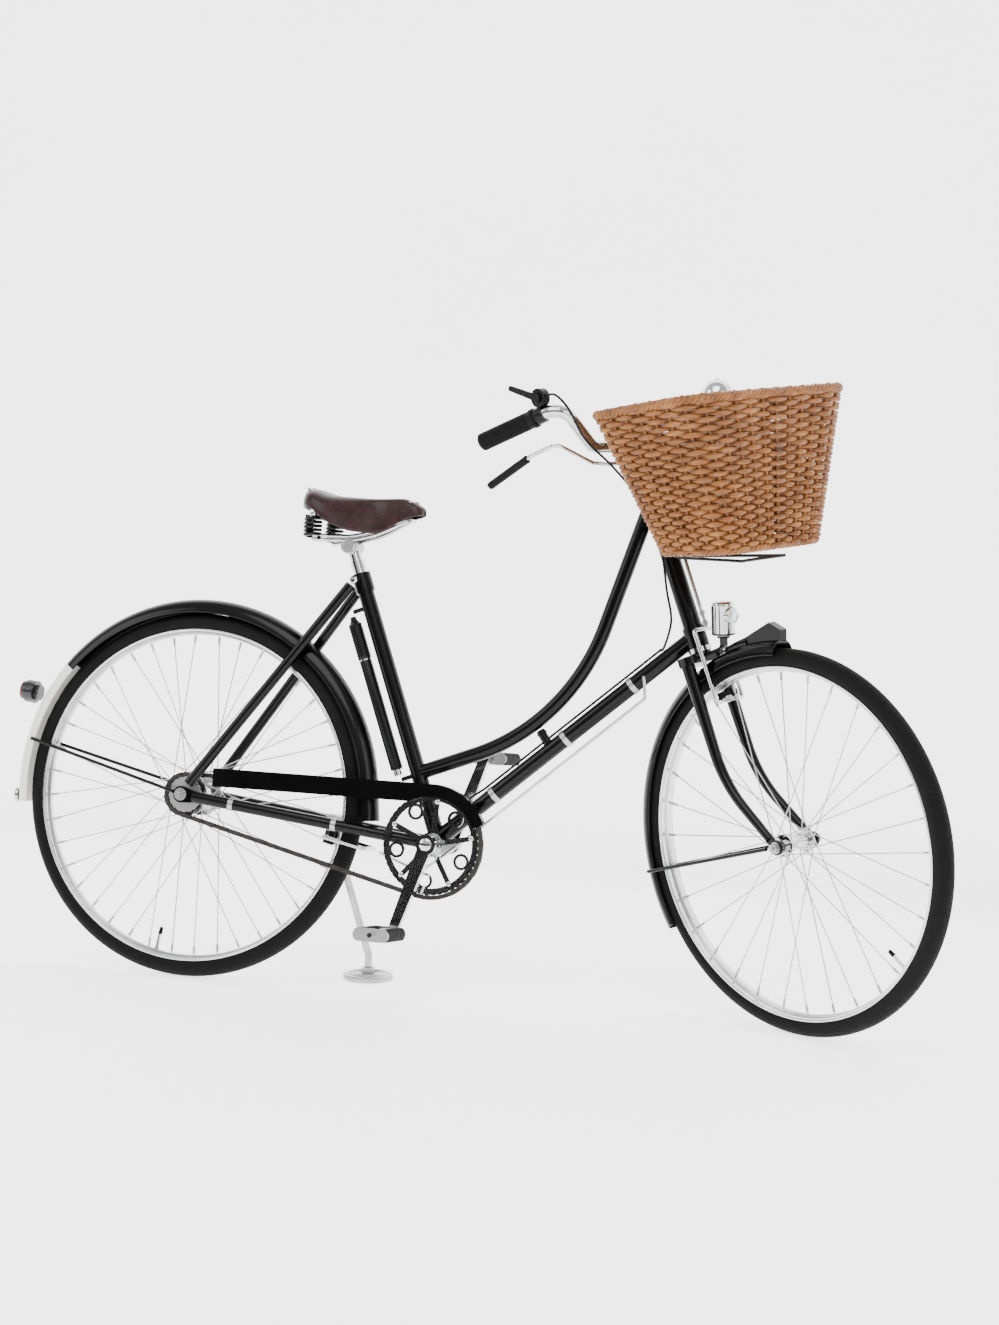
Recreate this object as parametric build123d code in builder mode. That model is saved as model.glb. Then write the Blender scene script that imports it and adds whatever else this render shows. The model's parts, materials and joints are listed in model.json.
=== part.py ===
from build123d import *
import math
import os

# A ladies' loop-frame roadster, standing on its side stand with the bars turned.
# Millimetres. Every sub-part is drawn on an upright bicycle that points along +X, with
# its left side along +Y, the rear axle above the origin and the front wheel straight.
# Front pieces are then turned about the steering axis, and the whole bicycle is leaned
# over onto its stand, so the ground is Z = 0.

# ---------------------------------------------------------------- stance
LEAN = 7.0
STEER = -30.65
SHIFT_X = -524.5
SHIFT_Y = -103.3

# ---------------------------------------------------------------- frame geometry
WHEEL_R = 330.0
TYRE_R = 17.6
WHEELBASE = 1132.0
HEAD_ANGLE = 68.2
FORK_RAKE = 74.0
CRANK_X, CRANK_Z = 477.0, 275.0
SEAT_ANGLE = 68.7
CRANK_LENGTH = 166.0
CRANK_TURN = 251.5
CHAIN_LINE = 44.0

# ---------------------------------------------------------------- steering column
CROWN_LOW, CROWN_TOP = 342.0, 357.0
HEAD_LOW, HEAD_TOP = 370.0, 660.0
STEERER_TOP = 690.0
STEM_TOP = 728.0
STEM_REACH = 42.0
STEERER_R = 12.7
RUNNING = 0.05

# ---------------------------------------------------------------- tubes
WALL = 1.4
HEAD_R = 16.5
LUG_R = 19.5
DOWN_R = 14.3
LOOP_R = 13.2
SEAT_R = 14.3
CHAIN_STAY_R = 10.5
SEAT_STAY_R = 9.5
BAR_R = 11.1
DROPOUT_Y = 60.0

# ---------------------------------------------------------------- wheels
TYRE_WALL = 3.6
BEAD_R = 302.6
RIM_FLOOR_R = 295.5
RIDGE_R = 291.0
SPOKE_R = 1.0
NIPPLE_R = 2.2
NIPPLE_LENGTH = 14.0
AXLE_R = 5.0
FRONT_AXLE_R = 4.0
FRONT_GUARD_R, REAR_GUARD_R = 345.0, 356.0
GUARD_HALF = 25.0
GUARD_SKIRT = 24.0
GUARD_T = 1.2

# ---------------------------------------------------------------- drive
SPROCKET_TEETH, CHAINWHEEL_TEETH = 18, 46
SPROCKET_PITCH_R, CHAINWHEEL_PITCH_R = 36.6, 93.1
CHAIN_HALF = 4.0
CHAIN_HALF_WIDTH = 4.5
TOOTH_GAP = 0.4

# ---------------------------------------------------------------- brakes and stand
PAD_TOP, PAD_THICK = 285.5, 10.0
PAD_Y = 10.0
STIRRUP_R = 3.5
STIRRUP_Y = 33.0
FRONT_BRAKE_U = 31.0
REAR_BRAKE_ANGLE = -12.0
STAND_X, STAND_Z = 262.0, 276.0
FOOT_X, FOOT_Y = 312.0, 128.0
FOOT_R, FOOT_T = 46.0, 10.0

os.makedirs("parts", exist_ok=True)

# ---------------------------------------------------------------- reference frames
head = math.radians(HEAD_ANGLE)
steer_up = Vector(-math.cos(head), 0, math.sin(head))
steer_ahead = Vector(math.sin(head), 0, math.cos(head))
rear_hub = Vector(0, 0, WHEEL_R)
front_hub = Vector(WHEELBASE, 0, WHEEL_R)
crank_centre = Vector(CRANK_X, 0, CRANK_Z)
# The head plane's origin is the point of the steering axis nearest the front axle: its
# first axis points ahead, its second to the left and its third up the steering axis.
HEAD = Plane(origin=front_hub - steer_ahead * FORK_RAKE, x_dir=steer_ahead, z_dir=steer_up)
TURNED = HEAD.location * Rotation(0, 0, STEER) * HEAD.location.inverse()

seat = math.radians(SEAT_ANGLE)
SEAT_TUBE = Plane(
    origin=crank_centre,
    x_dir=(math.sin(seat), 0, math.cos(seat)),
    z_dir=(-math.cos(seat), 0, math.sin(seat)),
)


def tyre_low(hub, placed):
    """Gives the lowest height of a tyre whose wheel stands as the location says."""
    centre = (placed * Location(hub)).position
    normal = (placed * Location(hub + Vector(0, 1, 0))).position - centre
    return centre.Z - (WHEEL_R - TYRE_R) * math.sqrt(1 - normal.Z**2) - TYRE_R


leaned = Rotation(-LEAN, 0, 0)
rear_low = tyre_low(rear_hub, leaned)
front_low = tyre_low(front_hub, leaned * TURNED)
level = math.degrees((front_low - rear_low) / WHEELBASE)
settled = Rotation(0, level, 0) * leaned
ON_STAND = Location((SHIFT_X, SHIFT_Y, -tyre_low(rear_hub, settled))) * settled
FRONT_ON_STAND = ON_STAND * TURNED


def export(builder, node, place=ON_STAND):
    """Labels a finished sub-part, stands it in its place and writes its STEP file."""
    piece = builder.part.moved(place)
    piece.label = node
    export_step(piece, f"parts/{node}.step")


def at_head(ahead, left, up):
    """Turns a point given on the head plane into the upright bicycle's coordinates."""
    return HEAD.from_local_coords(Vector(ahead, left, up))


def side_plane(y):
    """Gives a plane seen from the right, whose axes are X and Z, at a sideways place."""
    return Plane.XZ.offset(-y)


def add_rod(points, radius, bend=None, wall=0.0):
    """Adds a round rod or tube along the points, its corners rounded to the bend."""
    with BuildLine() as route:
        if bend:
            FilletPolyline(*points, radius=bend)
        else:
            Polyline(*points)
    with BuildSketch(Plane(origin=route.line @ 0, z_dir=route.line % 0)) as section:
        Circle(radius)
        if wall:
            Circle(radius - wall, mode=Mode.SUBTRACT)
    sweep(section.sketch, path=route.line)


def add_disc(plane, radius, start, stop, bore=0.0, mode=Mode.ADD):
    """Adds or cuts a round length between two heights above a plane."""
    with BuildSketch(plane.offset(start)) as section:
        Circle(radius)
        if bore:
            Circle(bore, mode=Mode.SUBTRACT)
    extrude(section.sketch, amount=stop - start, mode=mode)


def cross_plane(x, z):
    """Gives a plane whose normal points left, centred on an axle at the given place."""
    return Plane(origin=(x, 0, z), x_dir=(1, 0, 0), z_dir=(0, 1, 0))


def mirrored(points):
    """Gives a right-hand route's points reflected to the left-hand side."""
    return [Vector(p.X, -p.Y, p.Z) for p in points]


# ================================================================ frame
with BuildPart() as head_tube:
    add_disc(HEAD, HEAD_R, HEAD_LOW, HEAD_TOP, bore=HEAD_R - 2 * WALL)
    add_disc(HEAD, LUG_R, HEAD_LOW, HEAD_LOW + 38, bore=HEAD_R - 2 * WALL)
    add_disc(HEAD, LUG_R, HEAD_TOP - 52, HEAD_TOP, bore=HEAD_R - 2 * WALL)
export(head_tube, "head_tube")

with BuildPart() as headset_cups:
    for low, high, flare in ((HEAD_LOW - 8, HEAD_LOW, 20.5), (HEAD_TOP, HEAD_TOP + 8, 20.5)):
        add_disc(HEAD, flare, low, high, bore=STEERER_R + RUNNING)
export(headset_cups, "headset_cups")

DOWN_SLOPE = 0.862
down_low = Vector(CRANK_X, 0, CRANK_Z + 11.5)
down_high = Vector(918, 0, CRANK_Z + 11.5 + DOWN_SLOPE * (918 - CRANK_X))
down_dir = (down_high - down_low).normalized()
down_under = Vector(down_dir.Z, 0, -down_dir.X)
with BuildPart() as down_tube:
    add_rod([down_low, down_high], DOWN_R, wall=WALL)
    add_disc(HEAD, LUG_R + 0.02, HEAD_LOW - 1, HEAD_TOP, mode=Mode.SUBTRACT)
    add_disc(HEAD, 20.6, HEAD_LOW - 30, HEAD_LOW, mode=Mode.SUBTRACT)
    add_disc(SEAT_TUBE, SEAT_R + 0.02, 0, 90, mode=Mode.SUBTRACT)
    add_disc(cross_plane(CRANK_X, CRANK_Z), 20.02, -60, 60, mode=Mode.SUBTRACT)
export(down_tube, "down_tube")

LOOP_BEND = 370.0
loop_points = [Vector(825, 0, 898), Vector(702, 0, 502), Vector(425, 0, 396)]
with BuildPart() as loop_tube:
    add_rod(loop_points, LOOP_R, bend=LOOP_BEND, wall=WALL)
    add_disc(HEAD, LUG_R + 0.02, HEAD_LOW, HEAD_TOP + 80, mode=Mode.SUBTRACT)
    add_disc(SEAT_TUBE, SEAT_R + 0.02, 0, 300, mode=Mode.SUBTRACT)
export(loop_tube, "loop_tube")

SEAT_TOP = 505.0
PUMP_PEGS = (130.0, 444.0)
POST_R = 12.5
with BuildPart() as seat_tube:
    add_disc(SEAT_TUBE, SEAT_R, 0, SEAT_TOP)
    add_disc(SEAT_TUBE, SEAT_R + 3, SEAT_TOP - 34, SEAT_TOP)
    add_disc(cross_plane(294, 733), 8.0, -34, 34)
    for peg in PUMP_PEGS:
        peg_plane = Plane(origin=SEAT_TUBE.from_local_coords(Vector(0, 0, peg)), z_dir=-SEAT_TUBE.x_dir)
        add_disc(peg_plane, 4.0, 0, 33)
    add_disc(SEAT_TUBE, POST_R + RUNNING, 0, SEAT_TOP + 1, mode=Mode.SUBTRACT)
    add_disc(cross_plane(CRANK_X, CRANK_Z), 20.02, -60, 60, mode=Mode.SUBTRACT)
export(seat_tube, "seat_tube")

CRANK_AXLE_R = 8.0
crank_plane = cross_plane(CRANK_X, CRANK_Z)
with BuildPart() as bottom_bracket_shell:
    add_disc(crank_plane, 20.0, -37, 37)
    add_disc(crank_plane, 16.0, -30, 30, mode=Mode.SUBTRACT)
    add_disc(crank_plane, CRANK_AXLE_R + RUNNING, -38, 38, mode=Mode.SUBTRACT)
export(bottom_bracket_shell, "bottom_bracket_shell")

with BuildPart() as chain_stays:
    for side in (1, -1):
        add_rod([Vector(24, side * DROPOUT_Y, 327), Vector(455, side * 26, 277)], CHAIN_STAY_R, wall=WALL)
        with BuildSketch(side_plane(side * DROPOUT_Y)) as dropout:
            with Locations((0, WHEEL_R)):
                Circle(15)
            with Locations((30, 326)):
                Circle(9)
            make_hull()
        extrude(dropout.sketch, amount=2.5, both=True)
    add_disc(cross_plane(0, WHEEL_R), AXLE_R + RUNNING, -80, 80, mode=Mode.SUBTRACT)
    add_disc(crank_plane, 20.02, -60, 60, mode=Mode.SUBTRACT)
export(chain_stays, "chain_stays")

with BuildPart() as seat_stays:
    for side in (1, -1):
        add_rod([Vector(13, side * DROPOUT_Y, 350), Vector(286, side * 26, 724)], SEAT_STAY_R, wall=WALL)
    add_disc(cross_plane(294, 733), 8.3, -50, 50, mode=Mode.SUBTRACT)
export(seat_stays, "seat_stays")

# ================================================================ wheels
def revolve_rings(rings, axis):
    """Revolves a set of (inner radius, outer radius, low y, high y) rings as one piece."""
    with BuildSketch(Plane(origin=axis.position)) as section:
        for inner, outer, low, high in rings:
            with Locations(((inner + outer) / 2, (low + high) / 2)):
                Rectangle(outer - inner, high - low)
    revolve(section.sketch, axis=axis)


def build_wheel(wheel, hub, spokes, flange_r, flange_y, lean_in, hub_rings, place):
    """Makes one wheel: its tyre, its rim, its laced spokes and its hub shell."""
    axle = Axis(hub, (0, 1, 0))
    section_plane = Plane(origin=hub)
    with BuildPart() as tyre:
        with BuildSketch(section_plane):
            with Locations((WHEEL_R - TYRE_R, 0)):
                Circle(TYRE_R)
                Circle(TYRE_R - TYRE_WALL, mode=Mode.SUBTRACT)
            with Locations((BEAD_R - 10, 0)):
                Rectangle(20, 40, mode=Mode.SUBTRACT)
            with Locations((BEAD_R - 1.4, 9.6), (BEAD_R - 1.4, -9.6)):
                Rectangle(6, 3.6)
        revolve(axis=axle)
    export(tyre, f"{wheel}_tyre", place)

    with BuildPart() as rim:
        with BuildSketch(section_plane):
            with Locations((RIM_FLOOR_R + 1, 0)):
                Rectangle(2, 28)
            with Locations((RIM_FLOOR_R + 4.1, 14.2), (RIM_FLOOR_R + 4.1, -14.2)):
                Circle(2.6)
            with Locations((RIM_FLOOR_R - 1.5, 0)):
                RectangleRounded(6, 9, 2.5)
        revolve(axis=axle)
    export(rim, f"{wheel}_rim", place)

    rim_end = RIDGE_R - 1.2
    with BuildPart() as lacing:
        for index in range(spokes):
            side = 1 if index % 2 else -1
            sweep_way = 1 if (index // 2) % 2 else -1
            at_rim = math.radians(360 / spokes * index + 4)
            at_hub = at_rim + sweep_way * math.radians(lean_in)
            outer_y = flange_y + sweep_way * 3.9
            start = hub + Vector(flange_r * math.cos(at_hub), side * outer_y, flange_r * math.sin(at_hub))
            stop = hub + Vector(rim_end * math.cos(at_rim), side * 1.6, rim_end * math.sin(at_rim))
            run = stop - start
            spoke_plane = Plane(origin=start, z_dir=run)
            add_disc(spoke_plane, SPOKE_R, 0, run.length)
            add_disc(spoke_plane, NIPPLE_R, run.length - NIPPLE_LENGTH, run.length)
    export(lacing, f"{wheel}_spokes", place)

    with BuildPart() as shell:
        revolve_rings(hub_rings, axle)
    export(shell, f"{wheel}_hub", place)


rear_bore, front_bore = AXLE_R + RUNNING, FRONT_AXLE_R + RUNNING
build_wheel(
    "rear", rear_hub, 40, 34.0, 30.5, 62.0,
    [(rear_bore, 28, -29, 29), (rear_bore, 38, 29, 32), (rear_bore, 38, -32, -29),
     (rear_bore, 15, 32, 35), (rear_bore, 15, -35, -32)],
    ON_STAND,
)
build_wheel(
    "front", front_hub, 32, 16.5, 28.2, 58.0,
    [(front_bore, 12, -27, 27), (front_bore, 19.5, 27, 29.4), (front_bore, 19.5, -29.4, -27),
     (front_bore, 10, 29.4, 34), (front_bore, 10, -34, -29.4)],
    FRONT_ON_STAND,
)


def build_axle(node, hub, radius, reach, seat_y, nut_r, cone_y, place):
    """Makes a wheel's fixed axle with its cones, its washers and its hexagon nuts."""
    plane = cross_plane(hub.X, hub.Z)
    with BuildPart() as axle:
        add_disc(plane, radius, -reach, reach)
        for side in (1, -1):
            add_disc(plane, nut_r - 1, side * cone_y, side * (seat_y - 6.5))
            add_disc(plane, nut_r + 2, side * (seat_y - 3.2 + 6), side * (seat_y - 1.4 + 6))
            with BuildSketch(plane.offset(side * (seat_y + 4.6))) as nut:
                RegularPolygon(nut_r, 6)
            extrude(nut.sketch, amount=side * 8)
    export(axle, node, place)


build_axle("rear_axle", rear_hub, AXLE_R, 78, DROPOUT_Y, 9.5, 48.5, ON_STAND)
build_axle("front_axle", front_hub, FRONT_AXLE_R, 62, 46, 8.0, 35.0, FRONT_ON_STAND)

# ================================================================ mudguards
def add_mudguard(hub, crown, start, sweep_angle):
    """Adds a domed mudguard over a wheel from a start angle, measured up from ahead."""
    axis = Axis(hub, (0, -1, 0))
    with BuildSketch(Plane(origin=hub)) as section:
        for shrink, mode in ((0.0, Mode.ADD), (GUARD_T, Mode.SUBTRACT)):
            foot, half = crown - GUARD_SKIRT, GUARD_HALF - shrink
            with BuildLine() as dome:
                ThreePointArc((foot, -half), (crown - shrink, 0), (foot, half))
                Line((foot, half), (foot, -half))
            make_face(dome.line, mode=mode)
    turned = section.sketch.rotate(axis, start)
    revolve(turned, axis=axis, revolution_arc=sweep_angle)
    return turned


REAR_GUARD_START, REAR_GUARD_END = 6.0, 186.0
with BuildPart() as rear_mudguard:
    front_end = add_mudguard(rear_hub, REAR_GUARD_R, REAR_GUARD_START, REAR_GUARD_END - REAR_GUARD_START)
    angle = math.radians(REAR_GUARD_START)
    extrude(front_end, amount=60, dir=(math.sin(angle), 0, -math.cos(angle)))
export(rear_mudguard, "rear_mudguard")

FRONT_GUARD_START, FRONT_GUARD_END = 93.0, 213.0
with BuildPart() as front_mudguard:
    add_mudguard(front_hub, FRONT_GUARD_R, FRONT_GUARD_START, FRONT_GUARD_END - FRONT_GUARD_START)
    nose = [(-14, FRONT_GUARD_R - 2), (-14, FRONT_GUARD_R + 16), (-40, FRONT_GUARD_R + 27)]
    nose += [(-110, FRONT_GUARD_R - 11)]
    with BuildSketch(Plane(origin=front_hub, x_dir=(1, 0, 0), z_dir=(0, -1, 0))) as peak:
        Polygon(*nose, (-92, FRONT_GUARD_R - 16), align=None)
    extrude(peak.sketch, amount=8, both=True)
export(front_mudguard, "front_mudguard", FRONT_ON_STAND)


def stay_end(hub, angle, reach, y):
    """Gives the place beside a wheel at an angle up from ahead and a reach from its axle."""
    turn = math.radians(angle)
    return Vector(hub.X + reach * math.cos(turn), y, hub.Z + reach * math.sin(turn))


with BuildPart() as rear_mudguard_stays:
    for side in (1, -1):
        add_rod([Vector(-16, side * 60, 334), stay_end(rear_hub, 166, 336, side * 28.5)], 3.2)
export(rear_mudguard_stays, "rear_mudguard_stays")

with BuildPart() as front_mudguard_stays:
    for side in (1, -1):
        add_rod([Vector(WHEELBASE - 18, side * 52, 326), stay_end(front_hub, 195, 330, side * 28.5)], 3.2)
export(front_mudguard_stays, "front_mudguard_stays", FRONT_ON_STAND)

LAMP_Z = 497.0
with BuildPart() as rear_lamp:
    lamp_plane = Plane(origin=(-337, 0, LAMP_Z), z_dir=(-1, 0, 0.12))
    add_disc(lamp_plane, 14, -9, 0)
    add_disc(lamp_plane, 21, 0, 18)
    add_disc(lamp_plane, 17, 18, 27)
export(rear_lamp, "rear_lamp")

# ================================================================ drive
with BuildPart() as sprocket:
    sprocket_tip = SPROCKET_PITCH_R - CHAIN_HALF - TOOTH_GAP
    hub_plane = cross_plane(0, WHEEL_R)
    add_disc(hub_plane, 17, -CHAIN_LINE + 1.3, -36.2, bore=rear_bore)
    with BuildSketch(side_plane(-CHAIN_LINE)) as toothed:
        with Locations((0, WHEEL_R)):
            Circle(sprocket_tip)
            Circle(rear_bore, mode=Mode.SUBTRACT)
            with PolarLocations(sprocket_tip + 1.6, SPROCKET_TEETH):
                Circle(3.0, mode=Mode.SUBTRACT)
    extrude(toothed.sketch, amount=1.3, both=True)
export(sprocket, "sprocket")

CHAINWHEEL_ARMS = 5
with BuildPart() as chainwheel:
    wheel_tip = CHAINWHEEL_PITCH_R - CHAIN_HALF - TOOTH_GAP
    with BuildSketch(side_plane(-CHAIN_LINE)) as disc:
        with Locations((CRANK_X, CRANK_Z)):
            Circle(wheel_tip)
            Circle(wheel_tip - 12, mode=Mode.SUBTRACT)
            Circle(22)
            with PolarLocations(48, CHAINWHEEL_ARMS, start_angle=12):
                Rectangle(62, 9)
            with PolarLocations(64, CHAINWHEEL_ARMS, start_angle=48):
                Circle(14.5)
                Circle(9.5, mode=Mode.SUBTRACT)
            with PolarLocations(wheel_tip + 1.9, CHAINWHEEL_TEETH):
                Circle(3.0, mode=Mode.SUBTRACT)
            Circle(CRANK_AXLE_R + RUNNING, mode=Mode.SUBTRACT)
    extrude(disc.sketch, amount=1.25, both=True)
    add_disc(crank_plane, 20, -55.5, -CHAIN_LINE, bore=CRANK_AXLE_R + RUNNING)
export(chainwheel, "chainwheel")


def wrap_outline(growth):
    """Gives the outline that runs round both toothed wheels, moved out from the pitch line."""
    with BuildSketch(side_plane(-CHAIN_LINE)) as outline:
        with Locations((0, WHEEL_R)):
            Circle(SPROCKET_PITCH_R + growth)
        with Locations((CRANK_X, CRANK_Z)):
            Circle(CHAINWHEEL_PITCH_R + growth)
        make_hull()
    return outline.sketch


with BuildPart() as chain:
    extrude(wrap_outline(CHAIN_HALF), amount=CHAIN_HALF_WIDTH, both=True)
    extrude(wrap_outline(-CHAIN_HALF), amount=CHAIN_HALF_WIDTH + 1, both=True, mode=Mode.SUBTRACT)
export(chain, "chain")

GUARD_PLATE_Y = -52.0
GUARD_TOP_R, GUARD_INNER_R = 106.0, 84.0
GUARD_DEPTH = 33.0
GUARD_REAR_X = 56.0
with BuildPart() as chainguard:
    top_z = CRANK_Z + GUARD_TOP_R
    with BuildLine() as guard_edge:
        guard_top = Line((GUARD_REAR_X, top_z), (CRANK_X, top_z))
        guard_sweep = CenterArc((CRANK_X, CRANK_Z), GUARD_TOP_R, 90, -67)
    with BuildSketch(side_plane(GUARD_PLATE_Y)) as plate:
        with BuildLine() as plate_outline:
            Line((CRANK_X, top_z), (GUARD_REAR_X, top_z))
            Line((GUARD_REAR_X, top_z), (GUARD_REAR_X, top_z - GUARD_DEPTH))
            Line((GUARD_REAR_X, top_z - GUARD_DEPTH), (CRANK_X, top_z - GUARD_DEPTH))
            Line((CRANK_X, top_z - GUARD_DEPTH), (CRANK_X, top_z))
        make_face(plate_outline.line)
        with Locations((CRANK_X, CRANK_Z)):
            with BuildSketch(mode=Mode.PRIVATE) as front_ring:
                Circle(GUARD_TOP_R)
                Circle(GUARD_INNER_R, mode=Mode.SUBTRACT)
                with BuildLine() as sector:
                    Line((0, 0), (0, 200))
                    Line((0, 200), (200, 200))
                    Line((200, 200), (200, 200 * math.tan(math.radians(23))))
                    Line((200, 200 * math.tan(math.radians(23))), (0, 0))
                make_face(sector.line, mode=Mode.INTERSECT)
            add(front_ring.sketch)
        with Locations((CRANK_X, CRANK_Z)):
            Circle(GUARD_INNER_R, mode=Mode.SUBTRACT)
    extrude(plate.sketch, amount=1.2)
    with BuildSketch(side_plane(GUARD_PLATE_Y)) as lip:
        with Locations(((GUARD_REAR_X + CRANK_X) / 2, top_z - 0.6)):
            Rectangle(CRANK_X - GUARD_REAR_X, 1.2)
        with Locations((CRANK_X, CRANK_Z)):
            with BuildSketch(mode=Mode.PRIVATE) as front_lip:
                Circle(GUARD_TOP_R)
                Circle(GUARD_TOP_R - 1.2, mode=Mode.SUBTRACT)
                with BuildLine() as lip_sector:
                    Line((0, 0), (0, 200))
                    Line((0, 200), (200, 200))
                    Line((200, 200), (200, 200 * math.tan(math.radians(23))))
                    Line((200, 200 * math.tan(math.radians(23))), (0, 0))
                make_face(lip_sector.line, mode=Mode.INTERSECT)
            add(front_lip.sketch)
    extrude(lip.sketch, amount=-12)
export(chainguard, "chainguard")

# ---------------------------------------------------------------- cranks and pedals
PEDAL_INNER, PEDAL_OUTER = 86.0, 170.0
crank_turn = math.radians(CRANK_TURN)
crank_way = Vector(math.cos(crank_turn), 0, math.sin(crank_turn))


def pedal_centre(side):
    """Gives the middle of a pedal's spindle, on the right for -1 and on the left for 1."""
    reach = CRANK_LENGTH if side < 0 else -CRANK_LENGTH
    return crank_centre + crank_way * reach


with BuildPart() as crankset:
    add_disc(crank_plane, CRANK_AXLE_R, -74, 74)
    for side in (1, -1):
        pedal = pedal_centre(side)
        with BuildSketch(side_plane(side * 65)) as arm:
            with Locations((CRANK_X, CRANK_Z)):
                Circle(12.5)
            with Locations((pedal.X, pedal.Z)):
                Circle(8.5)
            make_hull()
        extrude(arm.sketch, amount=6, both=True)
        add_disc(crank_plane, 18, side * 56.2, side * 72)
        pedal_plane = cross_plane(pedal.X, pedal.Z)
        add_disc(pedal_plane, 8, side * 71, side * (PEDAL_INNER - 6))
        add_disc(pedal_plane, 4.5, side * 71, side * (PEDAL_OUTER + 6))
export(crankset, "crankset")

PEDAL_HALF, BLOCK_HEIGHT, BLOCK_DEPTH = 33.0, 23.0, 19.0
for side, name in ((-1, "right"), (1, "left")):
    pedal = pedal_centre(side)
    pedal_plane = cross_plane(pedal.X, pedal.Z)
    with BuildPart() as pedal_frame:
        add_disc(pedal_plane, 8.5, side * (PEDAL_INNER - 3), side * (PEDAL_OUTER + 3))
        for plate_y in (PEDAL_INNER, PEDAL_OUTER):
            with BuildSketch(side_plane(side * plate_y)) as end_plate:
                with Locations((pedal.X, pedal.Z)):
                    SlotOverall(2 * PEDAL_HALF, BLOCK_HEIGHT)
            extrude(end_plate.sketch, amount=1.5, both=True)
        add_disc(pedal_plane, 4.5 + RUNNING, -200, 200, mode=Mode.SUBTRACT)
    export(pedal_frame, f"{name}_pedal_frame")
    with BuildPart() as pedal_rubbers:
        for way in (1, -1):
            with BuildSketch(side_plane(side * (PEDAL_INNER + PEDAL_OUTER) / 2)) as block:
                with Locations((pedal.X + way * (PEDAL_HALF - BLOCK_DEPTH / 2), pedal.Z)):
                    RectangleRounded(BLOCK_DEPTH, BLOCK_HEIGHT, 7)
            extrude(block.sketch, amount=(PEDAL_OUTER - PEDAL_INNER) / 2 - 1.6, both=True)
    export(pedal_rubbers, f"{name}_pedal_rubbers")

# ================================================================ fork
with BuildPart() as fork_crown:
    add_disc(HEAD, STEERER_R, CROWN_TOP - 1, STEERER_TOP, bore=10.4)
    with BuildSketch(HEAD.offset(CROWN_LOW)) as crown:
        RectangleRounded(38, 104, 16)
    extrude(crown.sketch, amount=CROWN_TOP - CROWN_LOW)
    add_disc(HEAD, 18, CROWN_TOP, HEAD_LOW - 8.4)
    with BuildSketch(HEAD.offset(HEAD_TOP + 8.4)) as locknut:
        RegularPolygon(18.5, 8)
    extrude(locknut.sketch, amount=14)
    add_disc(HEAD, 10.4, CROWN_TOP + 20, STEERER_TOP + 1, mode=Mode.SUBTRACT)
export(fork_crown, "fork_crown", FRONT_ON_STAND)

BLADE_TOP_R, BLADE_TIP_R = 12.0, 7.5
BLADE_BEND = 220.0
with BuildPart() as fork_blades:
    for side in (1, -1):
        blade_points = [at_head(0, side * 40, CROWN_LOW + 6), at_head(0, side * 42, 132), at_head(74, side * 46, 0)]
        with BuildLine() as blade_route:
            FilletPolyline(*blade_points, radius=BLADE_BEND)
        with BuildSketch(Plane(origin=blade_route.line @ 0, z_dir=blade_route.line % 0)) as blade_top:
            Circle(BLADE_TOP_R)
        with BuildSketch(Plane(origin=blade_route.line @ 1, z_dir=blade_route.line % 1)) as blade_tip:
            Circle(BLADE_TIP_R)
        sweep([blade_top.sketch, blade_tip.sketch], path=blade_route.line, multisection=True)
        add_disc(cross_plane(front_hub.X, front_hub.Z), 13, side * 43.5, side * 48.5)
    with BuildSketch(HEAD.offset(CROWN_LOW - 0.01)) as crown_room:
        Rectangle(90, 150)
    extrude(crown_room.sketch, amount=40, mode=Mode.SUBTRACT)
    add_disc(cross_plane(front_hub.X, front_hub.Z), 20, -43.4, 43.4, mode=Mode.SUBTRACT)
    add_disc(cross_plane(front_hub.X, front_hub.Z), 20, 48.6, 80, mode=Mode.SUBTRACT)
    add_disc(cross_plane(front_hub.X, front_hub.Z), 20, -80, -48.6, mode=Mode.SUBTRACT)
    add_disc(cross_plane(front_hub.X, front_hub.Z), front_bore, -80, 80, mode=Mode.SUBTRACT)
export(fork_blades, "fork_blades", FRONT_ON_STAND)

# ---------------------------------------------------------------- stem and bars
bar_right = [
    Vector(0, 0, 0), Vector(0, -48, 0), Vector(2, -150, 6), Vector(8, -225, 80), Vector(-130, -276, 22)
]
BAR_BEND = 30.0
clamp = at_head(STEM_REACH, 0, STEM_TOP)
bar_right = [clamp + point for point in bar_right]
bar_points = list(reversed(bar_right[1:])) + mirrored(bar_right[1:])
with BuildPart() as handlebar:
    add_rod(bar_points, BAR_R, bend=BAR_BEND, wall=1.6)
export(handlebar, "handlebar", FRONT_ON_STAND)

with BuildPart() as handlebar_stem:
    add_disc(HEAD, 10.3, 600, STEERER_TOP + 0.5)
    add_disc(HEAD, 11.2, STEERER_TOP + 0.4, STEM_TOP + 11)
    add_rod([at_head(0, 0, STEM_TOP), clamp], 11.5)
    add_disc(cross_plane(clamp.X, clamp.Z), 17, -21, 21)
    add_disc(cross_plane(clamp.X, clamp.Z), BAR_R + RUNNING, -60, 60, mode=Mode.SUBTRACT)
export(handlebar_stem, "handlebar_stem", FRONT_ON_STAND)

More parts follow.
